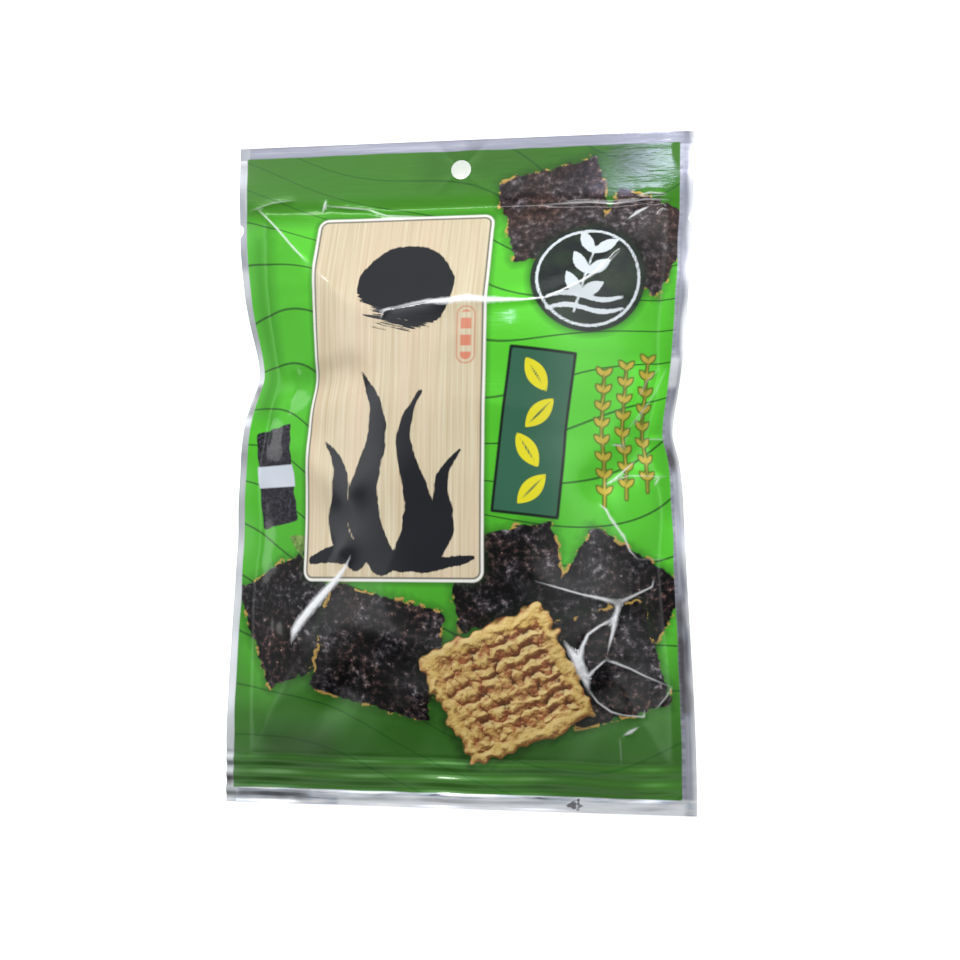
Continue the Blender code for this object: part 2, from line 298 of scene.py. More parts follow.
def crease_lines(x, y):
    """For each crease: distance and side, its width there, and 1 along it but for short tapered ends."""
    for crease in CREASES.values():
        line = np.array(crease.line, float)
        distance, share, side = nearest_on(line[:, :2], x, y)
        width = np.interp(share, np.linspace(0, 1, len(line)), line[:, 2])
        taper = np.clip(np.minimum(share, 1 - share) * 6, 0, 1)
        yield crease, distance, side, width, taper


def creases(x, y):
    """The sum of height times taper over (1 + (distance / (base + half width)) squared) to the power 1.5."""
    total = np.zeros(x.shape)
    for crease, distance, _, width, taper in crease_lines(x, y):
        total += crease.height * taper / (1 + (distance / (CREASE_BASE + width / 2)) ** 2) ** 1.5
    return total


def crease_web(x, y):
    """Distance to the nearest crease's edge over its softness, joined where two meet, and its shine."""
    total, bright = np.zeros(x.shape), np.zeros(x.shape)
    for crease, distance, _, width, taper in crease_lines(x, y):
        drawn = np.maximum(width, LEAST_WEB)
        softly = (distance - drawn / 2) / (SOFT_BASE + SOFT_SHARE * drawn)
        weight = np.exp(np.clip(-softly / WEB, -60, 60))
        shine = crease.shine * np.clip(width / LEAST_DRAWN, THIN_SHINE, 1)
        total += weight
        bright += weight * shine * (END_SHINE + (1 - END_SHINE) * taper)
    return -WEB * np.log(np.maximum(total, 1e-20)), bright / np.maximum(total, 1e-20)


def crease_sides(x, y):
    """Of the crease whose edge is nearest: signed distance to its middle, width, distance to its edge."""
    nearest, signed, widths = np.full(x.shape, np.inf), np.full(x.shape, FAR), np.zeros(x.shape)
    for _, distance, side, width, _ in crease_lines(x, y):
        drawn = np.maximum(width, LEAST_DRAWN)
        nearer = distance - drawn / 2 < nearest
        nearest = np.where(nearer, distance - drawn / 2, nearest)
        signed = np.where(nearer, side * distance, signed)
        widths = np.where(nearer, drawn, widths)
    return signed, widths, nearest


print(len(CREASES), "creases")

# %% [markdown]
# ## Slack between the creases
# Nothing on a real pouch is quite smooth. A field of slow waves in random directions, seeded so that it
# is the same each run, gives the film its slack. A slower one, folded at zero, gives soft facets.

# %% Slow random waves
WAVES = 14
SLACK, SLACK_LENGTH = 0.14, 30.0
FACET, FACET_LENGTH = 0.28, 58.0


def slow_waves(x, y, length, seed):
    """Sines of about this length in random directions and phases: their sum over their number's root."""
    draw = np.random.default_rng(seed)
    total = np.zeros(x.shape)
    turns, phases = draw.uniform(0, math.pi, WAVES), draw.uniform(0, 7, WAVES)
    for turn, phase, stretch in zip(turns, phases, draw.uniform(0.7, 1.5, WAVES)):
        along = x * math.cos(turn) + y * math.sin(turn)
        total += np.sin(2 * math.pi * along / (length * stretch) + phase)
    return total / math.sqrt(WAVES)


def slack(x, y):
    """Slow waves, less the absolute value of slower ones, which folds sharply where they pass zero."""
    return SLACK * slow_waves(x, y, SLACK_LENGTH, 4) - FACET * np.abs(slow_waves(x, y, FACET_LENGTH, 9))


slack_now = slack((front_grid.columns - 0.5) * WIDTH, (front_grid.rows - 0.5) * LENGTH)
print("slack from", round(float(slack_now.min()), 2), "to", round(float(slack_now.max()), 2), "mm")

# %% [markdown]
# ## Puckers along the seals
# Where the swelling film meets a straight weld it has too much length, so it puckers: short ridges
# stand square to the seal and fade into the body.

# %% Puckers
PUCKERS, PUCKER_REACH, PUCKER_WIDTH, PUCKER_HEIGHT = 20, 15.0, 2.2, 0.45


def puckers(along, inwards, seed, length=LENGTH):
    """Each is height times exp(-offset squared) times (s exp(1 - s)) squared, s the share of its reach."""
    draw = np.random.default_rng(seed)
    total = np.zeros(along.shape)
    spots = (np.arange(PUCKERS) + draw.uniform(0.15, 0.85, PUCKERS)) / PUCKERS * length - length / 2
    sizes, leans = draw.uniform(0.35, 1.0, PUCKERS), draw.uniform(-0.5, 0.5, PUCKERS)
    for spot, size, lean in zip(spots, sizes, leans):
        offset = (along - spot - lean * inwards) / (PUCKER_WIDTH * (0.7 + size))
        share = inwards / (PUCKER_REACH * size)
        total += PUCKER_HEIGHT * size * np.exp(-(offset**2)) * (share * np.exp(1 - share)) ** 2
    return total


print(PUCKERS, "puckers along each seal")

# %% [markdown]
# ## Ribs pressed into the seals
# The jaws that weld the bottom leave ribs across it, five or six millimetres apart.

# %% Ribs
RIB_PITCH, RIB_HEIGHT, RIB_ZONE, RIB_FADE = 5.8, 0.42, 20.0, 2.0
DEEPER, DEEPER_AT, DEEPER_REACH = 0.6, -6.0, 28.0
RIB_SHARE, RIB_TILT, UNEVEN, UNEVEN_LENGTH, BEND, BEND_LENGTH = 0.8, 0.0025, 0.35, 24.0, 0.5, 70.0


def ribs(x, y):
    """Minus a sine along the pouch, higher and lower across it, a little bent, faded out above the seal."""
    from_bottom = y + LENGTH / 2
    fade = np.clip((RIB_ZONE - from_bottom) / RIB_FADE, 0, 1)
    deeper = DEEPER * np.exp(-(((x - DEEPER_AT) / DEEPER_REACH) ** 2))
    uneven = UNEVEN * slow_waves(x, y * 0, UNEVEN_LENGTH, 91)
    size = RIB_HEIGHT * (RIB_SHARE - RIB_TILT * x + deeper + uneven)
    bent = from_bottom + BEND * slow_waves(x, y * 0, BEND_LENGTH, 92)
    return -size * fade * np.sin(2 * math.pi * bent / RIB_PITCH)


print("about", round(RIB_ZONE / RIB_PITCH), "ribs")

# %% [markdown]
# ## Both films in place
# The front film is all of these heights added up. The back film drops below the seals and lies flat on
# the ground. Both share the seals' outline, with a tear notch in each side below the header.

# %% Places of both films
GROUND_BLEND, RELIEF_FADE = 1.2, 4.0
NOTCH_AT, NOTCH_RADIUS, NOTCH_DEPTH, NOTCH_HOLD = LENGTH / 2 - 34.0, 2.5, 1.6, 60
DROOP, DROOP_LENGTH = 0.9, 26.0


def settle(height):
    """Height above the ground, flat at 0 where it would be lower, with a soft bend."""
    bend = np.clip(height + GROUND_BLEND, 0, None) ** 2 / (4 * GROUND_BLEND)
    return np.where(height > GROUND_BLEND, height, bend)


def flat_places(grid):
    """X and Y over the pouch, drawn in at its sides, with a small round tear notch in each side."""
    y = (grid.rows - 0.5) * LENGTH
    left, right = sides(y)
    notch = NOTCH_DEPTH * np.sqrt(np.clip(1 - ((y - NOTCH_AT) / NOTCH_RADIUS) ** 2, 0, 1))
    notched = notch * ((1 - grid.columns) ** NOTCH_HOLD - grid.columns**NOTCH_HOLD)
    return left + (right - left) * grid.columns + notched, y


def seal_middle(x, y):
    """The seals' height, with their outer edges drooping more and less along them."""
    left, right = sides(y)
    from_side = np.clip(np.minimum(x - left, right - x) / SIDE_SEAL, 0, 1)
    droop = DROOP * (1 - from_side) ** 2 * (0.5 + 0.5 * slow_waves(x * 0.3, y, DROOP_LENGTH, 71))
    return rim_height(x, y) + ribs(x, y) - np.clip(droop, 0, None)


def front_film(grid):
    """The seals' height plus the rise, with folds, slack, creases and puckers added."""
    x, y = flat_places(grid)
    full = fullness(grid)
    left, right = sides(y)
    body = np.clip(RELIEF_FADE * full, 0, 1)
    filled = np.clip(3 * profile(y), 0, 1)
    relief = (folds(x, y) + slack(x, y)) * body + creases(x, y)
    relief += puckers(y, np.clip(x - left - SIDE_SEAL, 0, None), 21) * filled
    relief += puckers(y, np.clip(right - SIDE_SEAL - x, 0, None), 22) * filled
    from_bottom_seal = np.clip(y + LENGTH / 2 - BOTTOM_SEAL, 0, None)
    relief += puckers(x, from_bottom_seal, 23, WIDTH - 2 * SIDE_SEAL) * body
    z = seal_middle(x, y) + FILM_THICKNESS / 2 + FRONT_RISE * full + relief
    return np.stack([x, y, z], -1)


def back_film(grid):
    """The seals' height less the drop, settled on the ground."""
    x, y = flat_places(grid)
    z = settle(seal_middle(x, y) - FILM_THICKNESS / 2 - BACK_DROP * fullness(grid))
    return np.stack([x, y, z], -1)


print("tear notches", NOTCH_DEPTH, "mm deep,", LENGTH / 2 - NOTCH_AT, "mm below the top")

# %% [markdown]
# ## Opening the hang hole
# A punched hole in a grid is made by bending the grid: the square rings of cells round the hole's place
# are eased into circles, and the cells inside the circle of the hole's own size are left out.

# %% Bend grid rings into the hole
HOLE_RINGS, EASED_RINGS = 6, 13
HOLE_ROW = 2 * round((HOLE_PLACE[1] / LENGTH + 0.5) * CELLS_ALONG / 2)


def ring_numbers(grid):
    """How many cells of the front grid each place is from the hole's, counted in square rings."""
    across = np.abs(np.round(grid.columns * CELLS_ACROSS) - CELLS_ACROSS / 2)
    along = np.abs(np.round(grid.rows * CELLS_ALONG) - HOLE_ROW)
    return np.maximum(across, along)


def eased(places, ring):
    """Moves places near the hole towards a circle round it, less and less from ring to ring."""
    out = places[..., :2] - np.array(HOLE_PLACE)
    size = np.maximum(np.hypot(out[..., 0], out[..., 1]), 1e-9)
    share = np.clip((ring - HOLE_RINGS) / (EASED_RINGS - HOLE_RINGS), 0, 1)
    outer = EASED_RINGS * WIDTH / CELLS_ACROSS
    wanted = HOLE_RADIUS + (outer - HOLE_RADIUS) * share
    radius = wanted + (size - wanted) * share**2
    bent = np.array(HOLE_PLACE) + out * (radius / size)[..., None]
    near = (ring < EASED_RINGS)[..., None]
    moved = places.copy()
    moved[..., :2] = np.where(near, bent, places[..., :2])
    return moved


front_rings, back_rings = ring_numbers(front_grid), ring_numbers(back_grid)
front_places = eased(front_film(front_grid), front_rings)
back_places = eased(back_film(back_grid), back_rings)
print("highest point", round(float(front_places[..., 2].max()), 1), "mm")

# %% [markdown]
# ## One closed skin
# The front's cells face up and the back's face down. Each film gets a hem, a ring of faces a twentieth
# of a millimetre wide, so that the shading stays flat up to the cut edge. Each rim edge of the back
# meets two of the front, so a strip of three triangles for each stitches the hems together.

# %% Faces of the skin
HEM = 0.05


def cell_faces(shape, ring, first, facing_up):
    """The four corners of every grid cell outside the hole, as vertex numbers."""
    index = first + np.arange(shape[0] * shape[1]).reshape(shape)
    corners = np.stack([index[:-1, :-1], index[:-1, 1:], index[1:, 1:], index[1:, :-1]], -1)
    near = np.stack([ring[:-1, :-1], ring[:-1, 1:], ring[1:, 1:], ring[1:, :-1]], -1).max(-1)
    faces = corners[near > HOLE_RINGS]
    return faces if facing_up else faces[:, ::-1]


def outer_loop(index):
    """Vertex numbers round the grid's rim, anticlockwise seen from above."""
    return np.concatenate([index[0, :-1], index[:-1, -1], index[-1, :0:-1], index[:0:-1, 0]])


def hole_loop(index, step):
    """Vertex numbers round the hole's ring, in the same sense."""
    column, row, reach = CELLS_ACROSS // 2 // step, HOLE_ROW // step, HOLE_RINGS // step
    return outer_loop(index[row - reach : row + reach + 1, column - reach : column + reach + 1])


def hem_places(places, outwards):
    """The loop's places moved a hair, square to the way from the place before to the next."""
    way = np.roll(places, -1, 0) - np.roll(places, 1, 0)
    side = np.stack([way[:, 1], -way[:, 0], 0 * way[:, 0]], -1)
    side /= np.hypot(way[:, 0], way[:, 1])[:, None]
    return places + (HEM if outwards else -HEM) * side


def hem_faces(loop, hem, facing_up):
    """Quads between a loop and its hem."""
    faces = np.stack([loop, hem, np.roll(hem, -1), np.roll(loop, -1)], -1)
    return faces if facing_up else faces[:, ::-1]


def stitched(fine, coarse, outwards):
    """Triangles between a rim and one with half as many points, facing away from the film."""
    fine_next, coarse_next = np.roll(fine, -1), np.roll(coarse, -1)
    first = np.stack([coarse, fine[1::2], fine[0::2]], -1)
    middle = np.stack([coarse, coarse_next, fine[1::2]], -1)
    last = np.stack([coarse_next, fine_next[1::2], fine[1::2]], -1)
    triangles = np.concatenate([first, middle, last])
    return triangles if outwards else triangles[:, ::-1]


print("places round the front's rim:", len(outer_loop(front_rings)))

# %% Join the films
front_count = front_rings.size
front_index = np.arange(front_count).reshape(front_rings.shape)
back_index = front_count + np.arange(back_rings.size).reshape(back_rings.shape)
grid_places = np.concatenate([front_places.reshape(-1, 3), back_places.reshape(-1, 3)])
skin_faces = [
    cell_faces(front_rings.shape, front_rings, 0, True),
    cell_faces(back_rings.shape, back_rings, front_count, False),
]
hem_of, hem_groups = [], []
for front_loop, back_loop, outwards in (
    (outer_loop(front_index), outer_loop(back_index), True),
    (hole_loop(front_index, 1), hole_loop(back_index, BACK_STEP), False),
):
    hems = []
    for loop, facing_up in ((front_loop, outwards), (back_loop, not outwards)):
        hem = len(grid_places) + sum(len(done) for done in hem_of) + np.arange(len(loop))
        skin_faces.append(hem_faces(loop, hem, facing_up))
        hem_groups.append(hem_places(grid_places[loop], outwards))
        hem_of.append(loop)
        hems.append(hem)
    skin_faces.append(stitched(*hems, outwards))
all_places, hemmed = np.concatenate([grid_places, *hem_groups]), np.concatenate(hem_of)
print("triangles:", sum(len(group) * (group.shape[1] - 2) for group in skin_faces))

# %% [markdown]
# ## From arrays to a Blender mesh
# All faces go into the mesh in one call. Places inside the hole that no face uses are dropped first.

# %% Build the pouch mesh
used = np.unique(np.concatenate([group.ravel() for group in skin_faces]))
renumber = np.full(len(all_places), -1)
renumber[used] = np.arange(len(used))
faces = [face for group in skin_faces for face in renumber[group].tolist()]
pouch_mesh = bpy.data.meshes.new("foil_pouch")
pouch_mesh.from_pydata((all_places[used] * MM).tolist(), [], faces)
pouch_mesh.update()
pouch_mesh.shade_smooth()
foil_pouch = bpy.data.objects.new("foil_pouch", pouch_mesh)
bpy.context.scene.collection.objects.link(foil_pouch)
print("pouch:", len(pouch_mesh.vertices), "vertices,", len(pouch_mesh.polygons), "faces")

# %% [markdown]
# ## Places on the flat film
# The film is printed flat, before it is filled, so the print is laid out in the flat film's own
# millimetres. Each motif is a field: its distance to the motif's edge, less than 0 inside. A field
# changes slowly from one grid place to the next, so its zero line stays crisp between them.

# %% Fields for boxes, leaves and strokes
EDGE_HOLD = 8


def flat_film(grid, ring):
    """Places on the film before it was filled, when its sides were straight. Its middle hasn't moved."""
    x, y = flat_places(grid)
    left, right = sides(y)
    from_left = (left + WIDTH / 2) * (1 - grid.columns) ** EDGE_HOLD
    from_right = (right - WIDTH / 2) * grid.columns**EDGE_HOLD
    flat = eased(np.stack([x - from_left - from_right, y, np.zeros(y.shape)], -1), ring)
    return flat[..., 0], flat[..., 1]


def turned(x, y, centre, degrees):
    """The same places measured from a centre along axes turned anticlockwise."""
    c, s = math.cos(math.radians(degrees)), math.sin(math.radians(degrees))
    dx, dy = x - centre[0], y - centre[1]
    return c * dx + s * dy, c * dy - s * dx


def box_edge(x, y, centre, half, radius=0.0, degrees=0.0):
    """Distance to a turned box with rounded corners: outside by its corner, inside by its nearest side."""
    u, v = turned(x, y, centre, degrees)
    over_u, over_v = np.abs(u) - half[0] + radius, np.abs(v) - half[1] + radius
    outside = np.hypot(np.clip(over_u, 0, None), np.clip(over_v, 0, None))
    return outside + np.minimum(np.maximum(over_u, over_v), 0) - radius


def disc_edge(x, y, centre, radius):
    """Distance to a disc: the distance to its centre less its radius."""
    return np.hypot(x - centre[0], y - centre[1]) - radius


def leaf_edge(x, y, centre, length, width, degrees):
    """A pointed leaf: |v| less half the width times (1 - (2u / length) squared)."""
    u, v = turned(x, y, centre, degrees)
    return np.abs(v) - width / 2 * (1 - (2 * u / length) ** 2)


def stroke_edge(x, y, places, widths):
    """Distance to the middle of a brush stroke, less half of its width there."""
    distance, share, _ = nearest_on(np.array(places, float), x, y)
    return distance - np.interp(share, np.linspace(0, 1, len(widths)), widths) / 2


def first_of(*edges):
    """The field of several motifs together: the least of theirs."""
    return np.minimum.reduce(edges)


print("from (6, 8) to the edge of a disc of 5 mm:", disc_edge(6.0, 8.0, (0.0, 0.0), 5.0), "mm")

# %% [markdown]
# ## The printed motifs
# The ground is green up to a border of bare silver foil. On it lie a cream wooden board brushed with
# a round sun and sea grass, a dark round badge with a sprig, a slanted label with leaves, sprigs of
# grain, a banded stack, dark squares of dried seaweed and one golden crisp. A leaf's tip shows from
# behind the board's foot.

# %% Places of the motifs
PRINT_LEFT, PRINT_RIGHT, PRINT_BOTTOM, PRINT_TOP = -87.0, 84.8, -123.4, 124.6
BOARD_CENTRE, BOARD_HALF = (-21.0, 27.0), (35.0, 71.0)
SUN_CENTRE, SUN_RADIUS, SUN_TURN, SUN_MARGIN = (-18.0, 66.0), 19.0, -14.0, 4
DRY_FROM, DRY_OVER, DRY_SLANT = -7.0, 13.0, 0.15
BADGE_CENTRE, BADGE_RADIUS = (51.0, 70.0), 21.5
LABEL_CENTRE, LABEL_HALF, LABEL_TURN = (32.0, 11.0), (12.5, 31.0), -6.0
CRISP_CENTRE, CRISP_HALF, CRISP_TURN = (21.0, -82.0), (26.0, 23.0), 24.0
STACK_CENTRE, STACK_HALF, STACK_TURN = (-71.5, -4.0), (9.0, 19.0), 9.0
STAMP_CENTRE, STAMP_HALF, STAMP_CORNER = (6.5, 47.0), (3.6, 11.0), 3.4
SPROUT_LEAVES = [((-52, -33), 26, 9, 152), ((-38, -41), 22, 7, 12)]
TOWARDS_LIGHT = (-0.25, 0.65)
FLOW_PITCH = 17.0
Square = namedtuple("Square", "centre half degrees")
BACK_SQUARES = [
    Square((38, 98), (20, 18), 14), Square((-62, -58), (20, 21), 24),
    Square((62, -50), (21, 19), -30), Square((22, -42), (20, 17), 10),
]
FRONT_SQUARES = [
    Square((70, 86), (16, 17), -24), Square((-27, -70), (23, 21), -14), Square((58, -74), (19, 20), 16),
]
print(len(BACK_SQUARES + FRONT_SQUARES), "dark squares")

# %% Crisp, seaweed and brushed ink


def crisp_edge(x, y):
    """A rounded box whose edge slow waves push in and out."""
    lumpy = 0.7 * slow_waves(x, y, 5.0, 51) + 0.6 * slow_waves(x, y, 14.0, 52)
    return box_edge(x, y, CRISP_CENTRE, CRISP_HALF, 5.0, CRISP_TURN) + lumpy


def squares_edge(x, y, squares, seed):
    """Boxes with ragged edges, which slow waves a few millimetres long push in and out."""
    ragged = 0.40 * slow_waves(x, y, 3.6, seed) + 0.55 * slow_waves(x, y, 11.0, seed + 1)
    return first_of(*[box_edge(x, y, s.centre, s.half, 2.0, s.degrees) for s in squares]) + ragged


def blade_places(foot, tip, sway, count=24):
    """A blade of sea grass: a straight run from foot to tip plus one sine wave across."""
    t = np.linspace(0, 1, count)[:, None]
    run = np.array(tip, float) - np.array(foot, float)
    side = np.array([-run[1], run[0]]) / np.hypot(*run)
    return np.array(foot, float) + run * t + side * sway * np.sin(2 * math.pi * t)


def board_ink(x, y):
    """The sun's disc, four blades and the wave that they stand on, with the rough edge of a brush."""
    rough = 0.10 * slow_waves(x, y, 2.6, 31) + 0.25 * slow_waves(x, y, 9.0, 32)
    strokes = [
        ((-24, -36), (-34, 34), 5.0, [11, 13, 9, 6, 1]), ((-16, -36), (-10, 26), -4.5, [9, 12, 8, 5, 1]),
        ((-34, -36), (-48, 8), 3.5, [8, 8, 6, 1]), ((-8, -36), (5, 4), -3.0, [8, 9, 5, 1]),
        ((-52, -36), (10, -35), 2.2, [3, 8, 6, 8, 5, 2]),
    ]
    edges = [stroke_edge(x, y, blade_places(foot, tip, sway), widths) for foot, tip, sway, widths in strokes]
    return first_of(disc_edge(x, y, SUN_CENTRE, SUN_RADIUS), *edges) + rough


def ink_dryness(x, y):
    """How dry the brush was, 0 to 1: it dries down the sun along its turned strokes."""
    u, v = turned(x, y, SUN_CENTRE, SUN_TURN)
    sun_share = np.clip((v + DRY_SLANT * u - DRY_FROM) / -DRY_OVER, 0, 1)
    return np.where(y > SUN_CENTRE[1] - SUN_RADIUS - SUN_MARGIN, sun_share, 0.0)


print("places along a blade:", len(blade_places((0, 0), (0, 10), 1.0)))

# %% Sprigs, badge and label
LEAF_LEAN, LEAF_SLENDERNESS = 42, 0.42
LABEL_LEAVES = [(-1.5 + 3 * (i % 2), 21 - 14 * i, 52 if i % 2 else 128) for i in range(4)]


def sprig_edge(x, y, foot, height, leaf, pairs, degrees=90.0):
    """A stem with pairs of leaves, each pair a step further along the stem."""
    along = np.array([math.cos(math.radians(degrees)), math.sin(math.radians(degrees))])
    parts = [stroke_edge(x, y, [foot, np.array(foot) + along * height], [0.9, 0.7])]
    for i in range(pairs):
        start = np.array(foot) + along * height * (i + 0.7) / pairs
        for lean in (LEAF_LEAN, -LEAF_LEAN):
            way = math.radians(degrees + lean)
            centre = start + leaf / 2 * np.array([math.cos(way), math.sin(way)])
            parts.append(leaf_edge(x, y, centre, leaf, leaf * LEAF_SLENDERNESS, degrees + lean))
    return first_of(*parts)


def badge_mark(x, y):
    """A thin circle, a sprig, and two brushed waves below it."""
    circle = np.abs(disc_edge(x, y, BADGE_CENTRE, BADGE_RADIUS - 2.4)) - 0.55
    sprig = sprig_edge(x, y, (46.0, 56.0), 27.0, 11.0, 3, 74.0)
    waves = [blade_places((36, low), (64, low + 1), 1.3) for low in (57, 61.5)]
    return first_of(circle, sprig, *[stroke_edge(x, y, wave, [1, 2, 1.6, 2, 1]) for wave in waves])


def label_mark(x, y):
    """Four leaves, each less a thin leaf that is its vein."""
    u, v = turned(x, y, LABEL_CENTRE, LABEL_TURN)
    leaves, veins = [
        first_of(*[leaf_edge(u, v, (across, up), length, width, lean) for across, up, lean in LABEL_LEAVES])
        for length, width in ((15.0, 7.0), (12.0, 1.0))
    ]
    return np.maximum(leaves, -veins - 0.1)


def grain_sprigs(x, y):
    """Three sprigs of grain side by side, each a little higher than the last."""
    feet = [(across, -16.0 + 3 * i) for i, across in enumerate((58.0, 66.5, 75.0))]
    return first_of(*[sprig_edge(x, y, foot, 50.0, 4.6, 8) for foot in feet])


print(len(LABEL_LEAVES), "leaves on the label")

# %% [markdown]
# ## Painted light on the ground and the foil
# The ground isn't one green: the film's slopes throw more or less light back, so soft patches of it are
# painted lighter or darker, as painted light and shade. The bare foil round it has pale, dull and dark
# patches too, painted reflections of brighter and darker parts of the room. Each patch is a box on the
# flat film.

# %% Patches of painted light and reflection
Patch = namedtuple("Patch", "centre half share")
PAINTED_LIGHT_PATCHES = [
    Patch((-82, 57), (5, 38), -0.43), Patch((-62, 40), (8, 20), -0.06), Patch((28, 119), (44, 8), -0.21),
    Patch((67, 118), (9, 8), -0.34), Patch((-61, -106), (14, 6), -0.34), Patch((-6, -109), (22, 5), 0.22),
    Patch((70, -108), (9, 7), 0.20), Patch((80, -68), (4, 22), 0.40), Patch((-77, -80), (6, 10), 0.55),
    Patch((4, -119), (24, 4), 0.28), Patch((79, -119), (8, 4), 0.40), Patch((84, 54), (3, 18), -0.34),
    Patch((75, 27), (5, 9), 0.40), Patch((83, 2), (3, 20), -0.30),
]
PATCH_CORNER, PATCH_FADE = 2.0, 10.0
# Painted reflections on the bare foil: boxes of pale glare, dull grey and dark reflection.
GLARE_BOXES = [((20, -127.6), (66, 2.9)), ((87, 35), (2.6, 6))]
DULL_REFLECTION_BOXES = [((-90, 101), (4.0, 22)), ((86.8, 84), (2.4, 40)), ((40, 128), (38, 4.5))]
DARK_REFLECTION_BOXES = [
    ((86.2, -71), (1.6, 21)), ((86.6, 2), (1.8, 5)), ((-88.4, 26), (1.8, 6)),
    ((-71, -125.2), (14, 1.5)), ((-89, -121), (1, 2)),
]
GLARE_FROM = PRINT_RIGHT + 3.9
SMUDGE_CENTRE, SMUDGE_RADIUS, SMUDGE_STRETCH = (45.0, -126.2), 1.5, 1.5


def painted_ground_light(x, y):
    """How much painted light or shade the ground gets: each patch fades to nothing over 10 mm about its edge.
    """
    total = 1.0
    for patch in PAINTED_LIGHT_PATCHES:
        edge = box_edge(x, y, patch.centre, patch.half, PATCH_CORNER)
        total = total + patch.share * np.clip(0.5 - edge / PATCH_FADE, 0, 1)
    return total


def boxes_edge(x, y, boxes):
    """The field of several boxes together."""
    return first_of(*[box_edge(x, y, centre, half) for centre, half in boxes])


def smudge_edge(x, y):
    """A small oval drawn out across the pouch, with a ragged edge."""
    across, along = (x - SMUDGE_CENTRE[0]) / SMUDGE_STRETCH, y - SMUDGE_CENTRE[1]
    return np.hypot(across, along) - SMUDGE_RADIUS + 0.8 * slow_waves(x, y, 2.4, 57)


def flow_lines(x, y):
    """A smooth field whose whole numbers are the thin curved lines on the ground, about 17 mm apart."""
    return y / FLOW_PITCH + 1.4 * np.sin(x / 47.0 + 0.6) + 0.5 * slow_waves(x, y, 120.0, 77)


print(len(PAINTED_LIGHT_PATCHES), "patches of tone and", len(GLARE_BOXES + DULL_REFLECTION_BOXES + DARK_REFLECTION_BOXES), "of painted foil reflection")

# %% [markdown]
# ## The whole print
# The front has every motif. The back shows only the edge of the ink, the board and the thin lines.

# %% Work the fields out


def front_fields(x, y):
    """Every motif and worn patch of the front, by name."""
    return {
        "squares_behind": squares_edge(x, y, BACK_SQUARES, 41),
        "squares_before": squares_edge(x, y, FRONT_SQUARES, 43),
        "stack": box_edge(x, y, STACK_CENTRE, STACK_HALF, 1.0, STACK_TURN) + 0.25 * slow_waves(x, y, 5.0, 47),
        "crisp": crisp_edge(x, y),
        "crisp_beside": crisp_edge(x + TOWARDS_LIGHT[0], y + TOWARDS_LIGHT[1]),
        "sprout": first_of(*[leaf_edge(x, y, *leaf) for leaf in SPROUT_LEAVES]),
        "board_ink": board_ink(x, y),
        "ink_dryness": ink_dryness(x, y),
        "foil_painted_glare": first_of(GLARE_FROM - x, boxes_edge(x, y, GLARE_BOXES)) + 0.5 * slow_waves(x, y, 16.0, 58),
        "foil_painted_dull_reflection": boxes_edge(x, y, DULL_REFLECTION_BOXES) + 0.6 * slow_waves(x, y, 14.0, 56),
        "foil_painted_dark_reflection": boxes_edge(x, y, DARK_REFLECTION_BOXES) + 0.8 * slow_waves(x, y, 9.0, 59),
        "smudge": smudge_edge(x, y),
        "stamp": box_edge(x, y, STAMP_CENTRE, STAMP_HALF, STAMP_CORNER),
        "badge": disc_edge(x, y, BADGE_CENTRE, BADGE_RADIUS),
        "badge_mark": badge_mark(x, y),
        "label": box_edge(x, y, LABEL_CENTRE, LABEL_HALF, 0.5, LABEL_TURN),
        "label_mark": label_mark(x, y),
        "sprigs": grain_sprigs(x, y),
    }


def shared_fields(x, y):
    """What both sides carry: the edge of the ink, the board and the thin lines."""
    middle = ((PRINT_LEFT + PRINT_RIGHT) / 2, (PRINT_BOTTOM + PRINT_TOP) / 2)
    half = ((PRINT_RIGHT - PRINT_LEFT) / 2, (PRINT_TOP - PRINT_BOTTOM) / 2)
    return {
        "inked": box_edge(x, y, middle, half, 0.3) + 0.12 * slow_waves(x, y, 22.0, 61),
        "board": box_edge(x, y, BOARD_CENTRE, BOARD_HALF, 4.0),
        "flow": flow_lines(x, y),
    }


front_flat, back_flat = flat_film(front_grid, front_rings), flat_film(back_grid, back_rings)
front_print = {**shared_fields(*front_flat), **front_fields(*front_flat)}
back_print = shared_fields(*back_flat)
print(len(front_print), "printed fields")

# %% [markdown]
# ## Fields on the mesh
# Each field is stored on the mesh as one number a vertex, so the material can read it by name. A hem
# repeats what its loop has. Where the back film has no field of its own, it is as if far from all. Its
# places are stored at another depth, so that its noise isn't the front's.

# %% Store the fields
BACK_DEPTH = 50.0


def store(mesh, name, front_values, back_values, kind="FLOAT"):
    """One attribute of the mesh from values on the front grid and on the back grid."""
    width = 1 if kind == "FLOAT" else 3
    values = np.concatenate([front_values.reshape(-1, width), back_values.reshape(-1, width)])
    values = np.concatenate([values, values[hemmed]])[used]
    attribute = mesh.attributes.new(name, kind, "POINT")
    attribute.data.foreach_set("value" if width == 1 else "vector", values.astype(np.float32).ravel())


def all_over(value):
    """The same number at every place of the back film."""
    return np.full(back_rings.shape, value, float)


